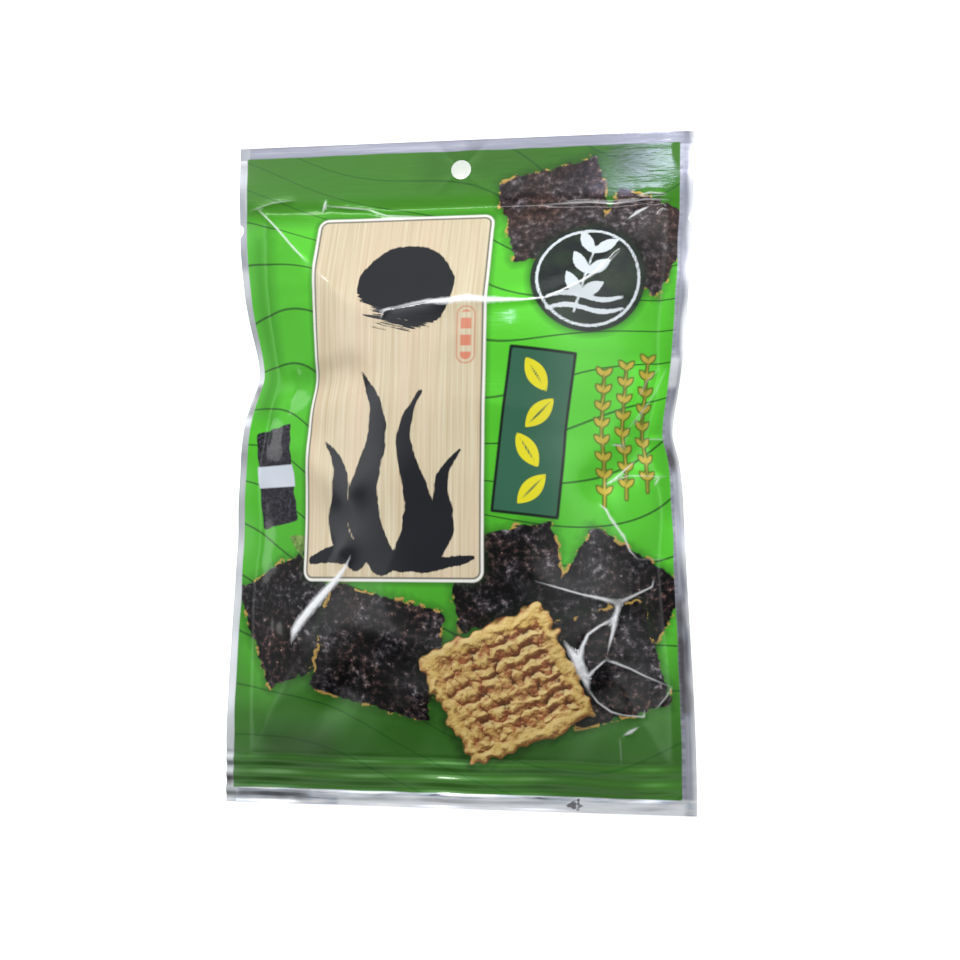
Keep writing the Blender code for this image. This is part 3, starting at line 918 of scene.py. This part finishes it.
for name, values in front_print.items():
    store(pouch_mesh, name, values, back_print.get(name, all_over(FAR)))
store(pouch_mesh, "painted_ground_light", painted_ground_light(*front_flat), all_over(1.0))
front_mm = np.stack([*front_flat, np.zeros(front_rings.shape)], -1)
store(pouch_mesh, "film_mm", front_mm, np.stack([*back_flat, all_over(BACK_DEPTH)], -1), "FLOAT_VECTOR")
front_drawn = flat_places(front_grid)
crease_edge, crease_bright = crease_web(*front_drawn)
crease_side, crease_width, crease_gap = crease_sides(*front_drawn)
for name, values, on_back in (
    ("crease_edge", crease_edge, FAR), ("crease_bright", crease_bright, 0.0), ("crease_gap", crease_gap, FAR),
    ("crease_side", crease_side, FAR), ("crease_width", crease_width, 0.0),
):
    store(pouch_mesh, name, values, all_over(on_back))
print(len(pouch_mesh.attributes), "attributes on the mesh")

# %% [markdown]
# ## A short way to write nodes
# A material of many layers is easier to read as a few small functions than as a long list of nodes.
# Colours are written as the eye sees them, from 0 to 255, and turned into light here.

# %% Helpers for nodes
film = bpy.data.materials.new("printed_film")
film.use_nodes = True


def feed(node, inputs, tree):
    """Gives each input of a node a number, a colour or another node's output."""
    for socket, value in inputs.items():
        if isinstance(value, bpy.types.NodeSocket):
            tree.links.new(value, node.inputs[socket])
        else:
            node.inputs[socket].default_value = value


def add_node(kind, inputs, tree=film.node_tree, **settings):
    """A new node of this kind, with its settings and inputs."""
    made = tree.nodes.new("ShaderNode" + kind)
    for name, value in settings.items():
        setattr(made, name, value)
    feed(made, inputs, tree)
    return made


def field(name):
    """The field that the mesh stores under this name."""
    return add_node("Attribute", {}, attribute_name=name).outputs["Fac"]


def count_nodes(what):
    """Prints how many nodes the material has once this is drawn."""
    print(what, "drawn, nodes so far:", len(film.node_tree.nodes))


# %% Arithmetic with nodes


def calc(operation, first, second=0.0, third=0.0):
    """One step of arithmetic."""
    return add_node("Math", {0: first, 1: second, 2: third}, operation=operation).outputs[0]


def product(first, *others):
    """All of these multiplied."""
    for other in others:
        first = calc("MULTIPLY", first, other)
    return first


def minus(first, second):
    """The first less the second."""
    return calc("SUBTRACT", first, second)


def clamped(value, most=1.0):
    """The value, or 0 or the most where it is beyond them."""
    return add_node("Clamp", {0: value, 2: most}).outputs[0]


def between(value, start, end, low=0.0, high=1.0, **settings):
    """From low to high as the value goes from start to end, and level beyond them."""
    inputs = {"Value": value, "From Min": start, "From Max": end, "To Min": low, "To Max": high}
    return add_node("MapRange", inputs, **settings).outputs[0]


def inside(edge, inset=0.0, soft=0.3):
    """1 where the field is less than minus the inset, 0 outside, with a soft step between."""
    return between(edge, soft - inset, -soft - inset)


# %% Colours and patterns with nodes


def paint(red, green, blue):
    """A colour from 0 to 255 as light: below 11 it is divided by 12.92, above it is a power of 2.4."""
    parts = np.array([red, green, blue]) / 255
    light = np.where(parts > 0.04045, ((parts + 0.055) / 1.055) ** 2.4, parts / 12.92)
    return (*light.tolist(), 1.0)


def laid(below, above, share, strength=1.0, kind="MIX"):
    """The colour below, with the colour above laid over it by this share times the strength."""
    below, above = [c if isinstance(c, bpy.types.NodeSocket) else paint(*c) for c in (below, above)]
    amount = share if strength == 1.0 else product(share, strength)
    return add_node("Mix", {0: amount, 6: below, 7: above}, data_type="RGBA", blend_type=kind).outputs[2]


def fill_ramp(elements, stops):
    """Sets a colour ramp's elements to pairs of a position and a colour."""
    while len(elements) < len(stops):
        elements.new(0.5)
    for element, (position, colour) in zip(elements, stops):
        element.position, element.color = position, colour


def tones(value, *stops):
    """A colour ramp through stops of a position, red, green and blue."""
    made = add_node("ValToRGB", {"Fac": value})
    fill_ramp(made.color_ramp.elements, [(position, paint(*colour)) for position, *colour in stops])
    return made.outputs["Color"]


film_mm = add_node("Attribute", {}, attribute_name="film_mm").outputs["Vector"]


def vectors(operation, first, second, third=(0.0, 0.0, 0.0)):
    """One step of arithmetic with whole places."""
    return add_node("VectorMath", {0: first, 1: second, 2: third}, operation=operation).outputs[0]


def spun(places, degrees):
    """Places turned back, so that what is drawn on them turns anticlockwise."""
    turn = (0.0, 0.0, -math.radians(degrees))
    return add_node("Mapping", {"Vector": places, "Rotation": turn}, vector_type="POINT").outputs[0]


def stretched(scale, degrees=0.0, centre=(0.0, 0.0)):
    """Film places from a centre, turned and then stretched: more than 1 squeezes a pattern."""
    moved = vectors("SUBTRACT", film_mm, (*centre, 0.0))
    return vectors("MULTIPLY", spun(moved, degrees), (*scale, 1.0))


def noise(places, scale=1.0, detail=4.0, rough=0.6):
    """Cloudy noise, mostly from 0.3 to 0.7."""
    inputs = {"Vector": places, "Scale": scale, "Detail": detail, "Roughness": rough}
    return add_node("TexNoise", inputs).outputs["Fac"]


print("middle grey as light:", [round(part, 3) for part in paint(128, 128, 128)])

# %% [markdown]
# ## The green ground
# Green ink over foil looks brighter where the film swells and duller on the flat header and bottom
# seal, so the ground's green is painted darker towards both ends as painted shade, and lighter on the
# right half way up as painted light. Thin dark curves run across it, drawn where the flow field passes a
# whole number. At the end the stored painted light and shade makes it lighter or darker in patches.

# %% Green ground
LEAF_GREEN, LIT_GREEN, CLOUD_GREEN, LINE_GREEN = (88, 202, 46), (100, 222, 58), (54, 144, 38), (42, 96, 30)
film_sides = add_node("SeparateXYZ", {0: film_mm}).outputs
film_x, film_y = film_sides["X"], film_sides["Y"]
height_share = between(film_y, -LENGTH / 2, LENGTH / 2)
# Painted shade: the green darkens towards the bottom seal and towards the header.
ground = tones(
    height_share, (0.00, 60, 98, 40), (0.08, 58, 100, 38), (0.17, 66, 126, 42), (0.32, 82, 180, 46),
    (0.55, *LEAF_GREEN), (0.86, 94, 210, 50), (0.895, 64, 124, 34), (1.00, 60, 106, 32),
)
ground = laid(ground, CLOUD_GREEN, noise(film_mm, 0.03, 2.0), 0.25)
# Painted light: the green is lighter on the right, half way up.
at_right, half_way = between(film_x, 20.0, 70.0), between(calc("ABSOLUTE", film_y), 80.0, 40.0)
ground = laid(ground, LIT_GREEN, product(at_right, half_way), 0.5)
off_flow_line = minus(calc("PINGPONG", field("flow"), 0.5), 0.022)
ground = laid(ground, LINE_GREEN, inside(off_flow_line, soft=0.008), 0.85)
# Painted light and shade: the stored patches make the green lighter or darker.
ground = add_node("VectorMath", {0: ground, "Scale": field("painted_ground_light")}, operation="SCALE").outputs[0]
count_nodes("ground")

# %% [markdown]
# ## Dried seaweed
# The dark squares are pressed seaweed with a crumb of batter: nearly black and mottled, browner and
# paler near the header, with a few pale flecks, and golden where the batter shows at an edge.

# %% Dark squares
BATTER_GOLD, PAPER_BAND, SQUARE_SHADOW = (196, 158, 84), (206, 212, 222), (20, 44, 16)
crumb = noise(film_mm, 0.62, 6.0, 0.75)
grains, clumps = noise(film_mm, 0.42, 3.0), noise(film_mm, 0.10, 2.0)
dots = add_node("TexVoronoi", {"Vector": film_mm, "Scale": 0.14}).outputs["Distance"]
flecks = between(dots, 0.075, 0.02, high=0.16)
speckle = calc("MULTIPLY_ADD", grains, 0.65, calc("MULTIPLY_ADD", clumps, 0.35, flecks))
seaweed = tones(
    speckle, (0.40, 2, 2, 4), (0.46, 9, 8, 10), (0.50, 28, 24, 25),
    (0.54, 46, 40, 40), (0.60, 86, 75, 72), (0.66, 152, 141, 137),
)
upper_seaweed = tones(
    speckle, (0.40, 34, 28, 28), (0.50, 62, 52, 50), (0.57, 92, 79, 75), (0.66, 156, 142, 137),
)
seaweed = laid(seaweed, upper_seaweed, between(film_y, 30.0, 90.0))
tint = tones(noise(film_mm, 0.05, 2.0), (0.42, 255, 226, 218), (0.58, 228, 238, 255))
seaweed = laid(seaweed, tint, 1.0, kind="MULTIPLY")
golden_spots = between(noise(film_mm, 0.13, 3.0, 0.7), 0.52, 0.57, high=0.85)


def lay_squares(below, name):
    """A soft shadow, then the squares, then batter on parts of their rim."""
    edge = field(name)
    shaded = laid(below, SQUARE_SHADOW, inside(edge, -1.6, 2.2), 0.55)
    rim = product(minus(inside(edge, -0.7), inside(edge, 0.4)), golden_spots)
    return laid(laid(shaded, seaweed, inside(edge)), BATTER_GOLD, rim)


picture = lay_squares(lay_squares(ground, "squares_behind"), "squares_before")
stack = field("stack")
picture = laid(picture, tones(crumb, (0.45, 22, 21, 27), (0.75, 84, 80, 92)), inside(stack))
band = inside(minus(calc("ABSOLUTE", minus(film_y, STACK_CENTRE[1])), 4.2))
picture = laid(picture, PAPER_BAND, product(inside(stack, -0.4), band))
count_nodes("seaweed")

# %% [markdown]
# ## The golden crisp
# The one crisp that shows its batter is printed as if lit from above. So its picture needs a relief: a
# rolled rim, and rows of rounded lumps that noise bends and roughens. Where the relief is lower a step
# towards the light, the batter is bright. Where it is higher, it is dark.

# %% Golden crisp
RIM_GOLD, ROSY, LIT_BATTER, DIM_BATTER = (214, 178, 96), (178, 100, 66), (244, 218, 152), (104, 62, 34)
CRISP_SHADOW = (16, 26, 12)
BATTER_RIM = 5.6
ROWS_FROM, ROWS_TO = -35.0, 5.0


def batter_height(edge, places):
    """A rim, sin of pi times the share across it, and domes in rows, 1 less 1.7 times squared distance."""
    bend = add_node("TexNoise", {"Vector": places, "Scale": 0.17, "Detail": 2.0}).outputs["Color"]
    celled = vectors("MULTIPLY", vectors("MULTIPLY_ADD", bend, (6.0, 6.0, 0.0), places), (0.27, 0.20, 1.0))
    cells = {"Vector": celled, "Scale": 1.0, "Randomness": 0.75}
    near = add_node("TexVoronoi", cells, voronoi_dimensions="2D").outputs["Distance"]
    row = calc("PINGPONG", add_node("SeparateXYZ", {0: celled}).outputs["Y"], 0.5)
    row_depth = between(add_node("SeparateXYZ", {0: places}).outputs["X"], ROWS_FROM, ROWS_TO, 0.4, 2.2)
    dome = calc("ADD", minus(1.0, product(near, near, 1.7)), product(minus(row, 0.4), row_depth))
    share = calc("DIVIDE", edge, -BATTER_RIM)
    tube = calc("SINE", product(clamped(share), math.pi))
    middle = between(share, 0.75, 1.1)
    rough_tube = calc("MULTIPLY_ADD", tube, 0.80, product(noise(places, 0.40, 4.0, 0.62), 0.85))
    return calc("MULTIPLY_ADD", product(middle, dome), 0.70, rough_tube), middle


crisp = field("crisp")
here = spun(film_mm, CRISP_TURN)
beside = spun(vectors("ADD", film_mm, (*TOWARDS_LIGHT, 0.0)), CRISP_TURN)
height_here, middle_share = batter_height(crisp, here)
height_beside, _ = batter_height(field("crisp_beside"), beside)
batter = tones(
    product(height_here, 0.70), (0.24, 66, 40, 22), (0.35, 130, 82, 46), (0.47, 172, 122, 72),
    (0.62, 200, 160, 94), (0.80, 222, 190, 116), (0.95, 238, 212, 150),
)
batter = laid(batter, RIM_GOLD, minus(1.0, middle_share), 0.45)
rosy = product(between(noise(here, 0.24, 3.0), 0.46, 0.60, high=0.75), between(height_here, 1.15, 0.65))
batter = laid(batter, ROSY, rosy)
slope = minus(height_here, height_beside)
batter = laid(batter, LIT_BATTER, clamped(product(slope, 2.2), 0.75))
batter = laid(batter, DIM_BATTER, clamped(product(slope, -3.4), 0.8))
picture = laid(picture, CRISP_SHADOW, inside(crisp, -2.0, 2.6), 0.7)
picture = laid(picture, batter, inside(crisp))
sprout_green = tones(noise(film_mm, 0.25), (0.35, 58, 96, 40), (0.65, 150, 186, 96))
picture = laid(picture, sprout_green, inside(field("sprout")))
count_nodes("crisp")

# %% [markdown]
# ## The wooden board
# Pale wood is cream with long thin grain, so its noise is squeezed across and drawn out along. A
# white line, a grey line and the wood follow each other inwards from the board's edge. The brush has
# left gaps where it ran dry. A rounded red stamp with a column of spots stands beside the sun.

# %% Wooden board
BOARD_WHITE, BOARD_GREY, BOARD_SHADOW = (238, 236, 228), (120, 116, 104), (24, 52, 20)
BRUSH_INK, PALE_STREAK, STAMP_RED, SPOT_RED = (30, 31, 36), (222, 194, 168), (200, 110, 80), (214, 104, 78)
SPOT_PITCH = 6.4
grain = noise(stretched((0.9, 0.012)), rough=0.65)
wood = tones(grain, (0.36, 200, 182, 148), (0.50, 211, 197, 166), (0.66, 222, 212, 184))
streaks = between(noise(stretched((0.07, 0.005)), detail=2.0), 0.45, 0.70, high=0.5)
wood = laid(wood, PALE_STREAK, streaks)
board = field("board")
board_face = laid(laid(BOARD_WHITE, BOARD_GREY, inside(board, 1.0, 0.25)), wood, inside(board, 1.7, 0.25))
picture = laid(picture, BOARD_SHADOW, inside(board, -1.2, 1.2), 0.5)
picture = laid(picture, board_face, inside(board))

bristles = noise(stretched((0.03, 0.55), SUN_TURN, SUN_CENTRE), 1.0, 5.0, 0.7)
dry_gaps = calc("MAXIMUM", product(field("ink_dryness"), minus(bristles, 0.42), 80.0), 0.0)
ink_edge = calc("ADD", calc("ADD", field("board_ink"), minus(grain, 0.5)), dry_gaps)
picture = laid(picture, BRUSH_INK, inside(ink_edge, soft=0.25))
stamp = field("stamp")
picture = laid(picture, STAMP_RED, minus(inside(stamp), inside(stamp, 0.6)), 0.6)
off_spot = minus(calc("PINGPONG", calc("DIVIDE", film_y, SPOT_PITCH), 0.5), 0.32)
picture = laid(picture, SPOT_RED, product(inside(stamp, 1.6), inside(off_spot, soft=0.04)), 0.75)
count_nodes("board")

# %% [markdown]
# ## Badge, label and sprigs
# These are flat inks, so each is one field laid over the last. A thin dark rim lifts the label off the
# ground.

# %% Badge, label and sprigs
YELLOW_INK, BADGE_INK, BADGE_SHADOW = (226, 216, 40), (214, 222, 226), (14, 30, 12)
LABEL_RIM, LABEL_GREEN, SPRIG_DARK, SPRIG_GOLD = (18, 34, 24), (52, 100, 76), (96, 116, 36), (200, 180, 66)
badge, label, sprigs = field("badge"), field("label"), field("sprigs")
badge_tone = tones(noise(film_mm, 0.08, 3.0), (0.40, 26, 30, 32), (0.70, 40, 58, 40))
picture = laid(picture, BADGE_SHADOW, inside(badge, -1.5, 1.5), 0.55)
picture = laid(picture, badge_tone, inside(badge))
brush_wear = calc("ADD", field("badge_mark"), product(minus(crumb, 0.5), 1.1))
picture = laid(picture, BADGE_INK, inside(brush_wear, soft=0.2))
label_face = laid(LABEL_RIM, LABEL_GREEN, inside(label, 1.1, 0.25))
picture = laid(picture, label_face, inside(label))
picture = laid(picture, YELLOW_INK, inside(field("label_mark"), soft=0.25))
picture = laid(picture, SPRIG_DARK, inside(sprigs, -0.5, 0.3))
picture = laid(picture, SPRIG_GOLD, inside(sprigs, 0.1, 0.25))
count_nodes("badge, label and sprigs")

# %% [markdown]
# ## Bare foil
# The film is metallized plastic, and bare foil shows as silver all round the print. Fine bands run along
# each seal, and the bottom edge is crumpled, with painted dark and white reflections in its crumples. The
# left seal's painted reflection changes between grey and nearly white along its length, so it gets its own
# greys, and the top seal gets a painted darker reflection. The painted pale, dull and dark reflection
# patches lie over all.

# %% Silver
FOIL_SHADES = ((0.30, 146, 147, 161), (0.50, 176, 178, 192), (0.70, 208, 211, 222))
LEFT_REFLECTION_GREYS = (
    (0.05, 184), (0.12, 244), (0.28, 254), (0.41, 182), (0.51, 186), (0.60, 236), (0.70, 172), (0.95, 226),
)
GLARE_SOFTNESS, SIDE_FROM, BOTTOM_TO, TOP_FROM, TOP_REFLECTION_GREY = 1.0, 86.0, -123.0, 124.0, (96, 98, 110)
inked = inside(field("inked"), soft=0.25)
at_side = inside(minus(SIDE_FROM, calc("ABSOLUTE", film_x)), soft=0.5)
at_bottom = inside(minus(film_y, BOTTOM_TO), soft=0.5)
across_bands, along_bands = [noise(stretched(scale), detail=3.0) for scale in ((0.50, 0.016), (0.014, 0.50))]
silver = laid(tones(along_bands, *FOIL_SHADES), tones(across_bands, *FOIL_SHADES), at_side)
# Painted reflection: dark and white blotches along the crumpled bottom edge.
crumpled_painted_reflection = tones(
    noise(stretched((0.05, 0.55)), rough=0.65),
    (0.30, 70, 75, 86), (0.38, 180, 187, 200), (0.50, 220, 227, 238), (0.62, 255, 255, 255),
)
silver = laid(silver, crumpled_painted_reflection, at_bottom)
# Painted reflection: the left seal's greys, from grey to nearly white along its length.
left_painted_reflection = tones(height_share, *[(share, grey - 4, grey, grey + 3) for share, grey in LEFT_REFLECTION_GREYS])
silver = laid(silver, left_painted_reflection, inside(calc("ADD", film_x, SIDE_FROM)), 0.92)
# Painted reflection: the top seal is darker.
silver = laid(silver, TOP_REFLECTION_GREY, inside(minus(TOP_FROM, film_y)), 0.62)
# Painted pale, dull and dark reflections on the foil, then the smudge.
for name, colour, soft, strength in (
    ("foil_painted_dull_reflection", (116, 118, 128), 1.6, 0.62), ("foil_painted_glare", (252, 253, 255), GLARE_SOFTNESS, 0.68),
    ("foil_painted_dark_reflection", (74, 64, 60), 1.6, 0.75), ("smudge", (44, 42, 46), 0.3, 0.8),
):
    silver = laid(silver, colour, inside(field(name), soft=soft), strength)
count_nodes("silver")

# %% [markdown]
# ## Painted highlights on the creases
# A hard crease whitens along its crest, where the ink has cracked, and catches the light there, so a
# white painted highlight is laid along it. The line is drawn in the material, because it is finer than
# the mesh: it is as wide as the crease says, with a ragged edge, and as bright as it says, with grit in
# it.

# %% Creases over the print
CREST_HIGHLIGHT_WHITE, GRIT, LEAST_GRIT = (252, 253, 255), 1.4, 0.28
LINE_HALF, SOFTER_BY, LEAST_SOFT = 0.36, 0.42, 0.26
grit = calc("MULTIPLY_ADD", noise(film_mm, 0.40, 4.0, 0.7), GRIT, LEAST_GRIT)
drawn = field("crease_width")
ragged = product(minus(noise(film_mm, 0.40, 2.0), 0.5), drawn)
from_middle = calc("ABSOLUTE", field("crease_side"))
off_line = calc("ADD", ragged, calc("MULTIPLY_ADD", drawn, -LINE_HALF, from_middle))
softened = calc("DIVIDE", off_line, calc("MULTIPLY_ADD", drawn, SOFTER_BY, LEAST_SOFT))
line = between(softened, 1.0, -0.9, interpolation_type="SMOOTHSTEP")
close_by = between(field("crease_gap"), 0.85, 0.50)
joined = between(field("crease_edge"), 0.15, -0.55)
crest = calc("MAXIMUM", product(line, close_by), joined)
# Painted highlight: white along each crease's crest, as bright as the crease says.
picture = laid(picture, CREST_HIGHLIGHT_WHITE, clamped(product(crest, field("crease_bright"), grit)))
count_nodes("creases")

# %% [markdown]
# ## Metal and gloss
# Green ink over foil is partly metal, a picture printed over white isn't, and bare foil is all metal, but
# for its patches of painted pale reflection, which also scatter light. Over everything lies a clear gloss,
# the shader's coat, worn thin along the fold below the header. A little bump in it makes the reflections
# shiver.

# %% Foil, wear and gloss
FOLD_AT, WORN_COAT, COAT_ROUGHNESS, FOIL_ROUGHNESS, INK_ROUGHNESS = 102.0, 0.3, 0.08, 0.38, 0.42
GREEN_COVER, GLARE_SCATTER = 0.7, 0.35
covered = inside(board)
for edge in (stack, crisp, field("squares_behind"), field("squares_before"), badge, label):
    covered = calc("MAXIMUM", covered, inside(edge))
metal = minus(1.0, product(inked, calc("MULTIPLY_ADD", covered, 1 - GREEN_COVER, GREEN_COVER)))
# Where the foil has its painted pale glare it is also less metal.
scattering = calc("MULTIPLY_ADD", inside(field("foil_painted_glare"), soft=GLARE_SOFTNESS), -GLARE_SCATTER, 1.0)
dimple = calc("ADD", noise(stretched((0.12, 0.70)), detail=2.0), noise(stretched((0.06, 0.20)), detail=2.0))
bump = add_node("Bump", {"Height": dimple, "Strength": 0.24, "Distance": 0.0001}).outputs[0]
feed(film.node_tree.nodes["Principled BSDF"], {
    "Base Color": laid(silver, picture, inked),
    "Metallic": product(metal, scattering),
    "Roughness": between(inked, 0.0, 1.0, FOIL_ROUGHNESS, INK_ROUGHNESS),
    "Specular IOR Level": 0.0,
    "Coat Weight": between(calc("ABSOLUTE", minus(film_y, FOLD_AT)), 3.0, 5.5, WORN_COAT, 1.0),
    "Coat Roughness": COAT_ROUGHNESS,
    "Coat IOR": 1.5,
    "Normal": bump,
    "Coat Normal": bump,
}, film.node_tree)
pouch_mesh.materials.append(film)
print("film material:", len(film.node_tree.nodes), "nodes")

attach(foil_pouch, "root")
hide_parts("pouch")

# %% [markdown]
# ## Floor
# The photograph's ground is plain white, with no shadow on it and none in the hang hole. A white floor
# that glows a little, as a light table does, gives the same.

# %% Floor
FLOOR_REACH = 3.0
floor_mesh = bpy.data.meshes.new("studio_floor")
signs = ((-1, -1), (1, -1), (1, 1), (-1, 1))
floor_mesh.from_pydata([(sx * FLOOR_REACH, sy * FLOOR_REACH, 0) for sx, sy in signs], [], [(0, 1, 2, 3)])
studio_floor = bpy.data.objects.new("studio_floor", floor_mesh)
bpy.context.scene.collection.objects.link(studio_floor)
pale = bpy.data.materials.new("pale_floor")
pale.use_nodes = True
feed(pale.node_tree.nodes["Principled BSDF"], {
    "Base Color": (0.97, 0.97, 0.97, 1.0),
    "Roughness": 0.9,
    "Specular IOR Level": 0.0,
    "Emission Color": (1.0, 1.0, 1.0, 1.0),
    "Emission Strength": 0.6,
}, pale.node_tree)
floor_mesh.materials.append(pale)
print("floor", 2 * FLOOR_REACH, "metres square")

# %% [markdown]
# ## Lamps
# The header mirrors a small lamp, brightest in its middle, so three nested ovals stand for it. A long
# strip beyond the header puts the pale streaks on the bottom seal's ribs and along the folds.

# %% Lamps


def lamp_radiance(name, way, distance, size, radiance, shape="RECTANGLE", colour=(1, 1, 1)):
    """An area lamp in this direction from the pouch, facing it. Watts are pi times area times radiance."""
    data = bpy.data.lights.new(name, "AREA")
    data.shape, data.size, data.size_y, data.color = shape, size[0], size[1], colour
    filled = math.pi / 4 if shape == "ELLIPSE" else 1
    data.energy = math.pi * size[0] * size[1] * filled * radiance
    lamp = bpy.data.objects.new(name, data)
    bpy.context.scene.collection.objects.link(lamp)
    toward = Vector(way).normalized()
    lamp.location = toward * distance
    lamp.rotation_euler = toward.to_track_quat("Z", "Y").to_euler()
    print(name, "at", [round(v, 2) for v in lamp.location], "metres,", round(data.energy, 2), "W")


COOL, HEADER_LAMP_WAY, HEADER_LAMP_AWAY = (0.70, 0.72, 1.0), (0.447, 0.894), 1.75
for part, across, size, radiance in (
    ("core", 0.034, (0.075, 0.10), 12.0),
    ("middle", 0.030, (0.11, 0.12), 6.0),
    ("rim", 0.024, (0.16, 0.15), 2.5),
):
    way = (across, *HEADER_LAMP_WAY)
    lamp_radiance("header_lamp_" + part, way, HEADER_LAMP_AWAY, size, radiance, "ELLIPSE", COOL)
lamp_radiance("strip_lamp", way=(0.02, 0.69, 0.72), distance=1.6, size=(1.4, 0.15), radiance=18.0)

# %% [markdown]
# ## The room
# Shiny film shows the room more than the lamps. This room is a world of greys by height: dim near the
# ground, bright above it, and dark straight up, where the photographer stands. It is brighter beyond
# the header, and darker on the near side.

# %% World
SKY_LEVELS = ((0.0, 0.4), (0.45, 0.45), (0.6, 1.25), (0.8, 1.6), (0.91, 0.72), (0.96, 0.28), (1.0, 0.22))
ROOM_LEVEL, BRIGHTER_TOWARDS = 0.88, (-0.12, 0.48, 0.0)
world = bpy.data.worlds.new("studio_world")
bpy.context.scene.world = world
world.use_nodes = True
sky = world.node_tree
direction = add_node("TexCoord", {}, sky).outputs["Generated"]
ways = add_node("SeparateXYZ", {0: direction}, sky).outputs
ramp = add_node("ValToRGB", {"Fac": ways["Z"]}, sky)
fill_ramp(ramp.color_ramp.elements, [(up, (grey * 0.97, grey * 0.985, grey, 1.0)) for up, grey in SKY_LEVELS])
lean = add_node("VectorMath", {0: direction, 1: BRIGHTER_TOWARDS}, sky, operation="DOT_PRODUCT")
level = add_node("Math", {0: lean.outputs["Value"], 1: ROOM_LEVEL}, sky).outputs[0]
nearness = {"Value": ways["Y"], "From Min": -0.80, "From Max": -0.30, "To Min": 0.40}
near_side = add_node("MapRange", nearness, sky).outputs["Result"]
strength = add_node("Math", {0: level, 1: near_side}, sky, operation="MULTIPLY").outputs[0]
feed(sky.nodes["Background"], {"Color": ramp.outputs["Color"], "Strength": strength}, sky)
print("world:", len(sky.nodes), "nodes")

# %% [markdown]
# ## Camera
# The camera looks down from where the photograph was taken: a little to the right of the pouch's middle
# and below it, half a metre up.

# %% Camera
CAMERA_PLACE, CAMERA_TURN = (0.0839, -0.0450, 0.5087), (4.585, 8.48, 0.481)
camera_data = bpy.data.cameras.new("photo_camera")
camera_data.lens, camera_data.sensor_width = 50.0, 36.0
camera = bpy.data.objects.new("photo_camera", camera_data)
camera.location = CAMERA_PLACE
camera.rotation_euler = [math.radians(angle) for angle in CAMERA_TURN]
bpy.context.scene.collection.objects.link(camera)
bpy.context.scene.camera = camera
bpy.context.scene.view_settings.view_transform = "Standard"
print("camera", round(camera.location.length, 2), "metres from the pouch's middle")
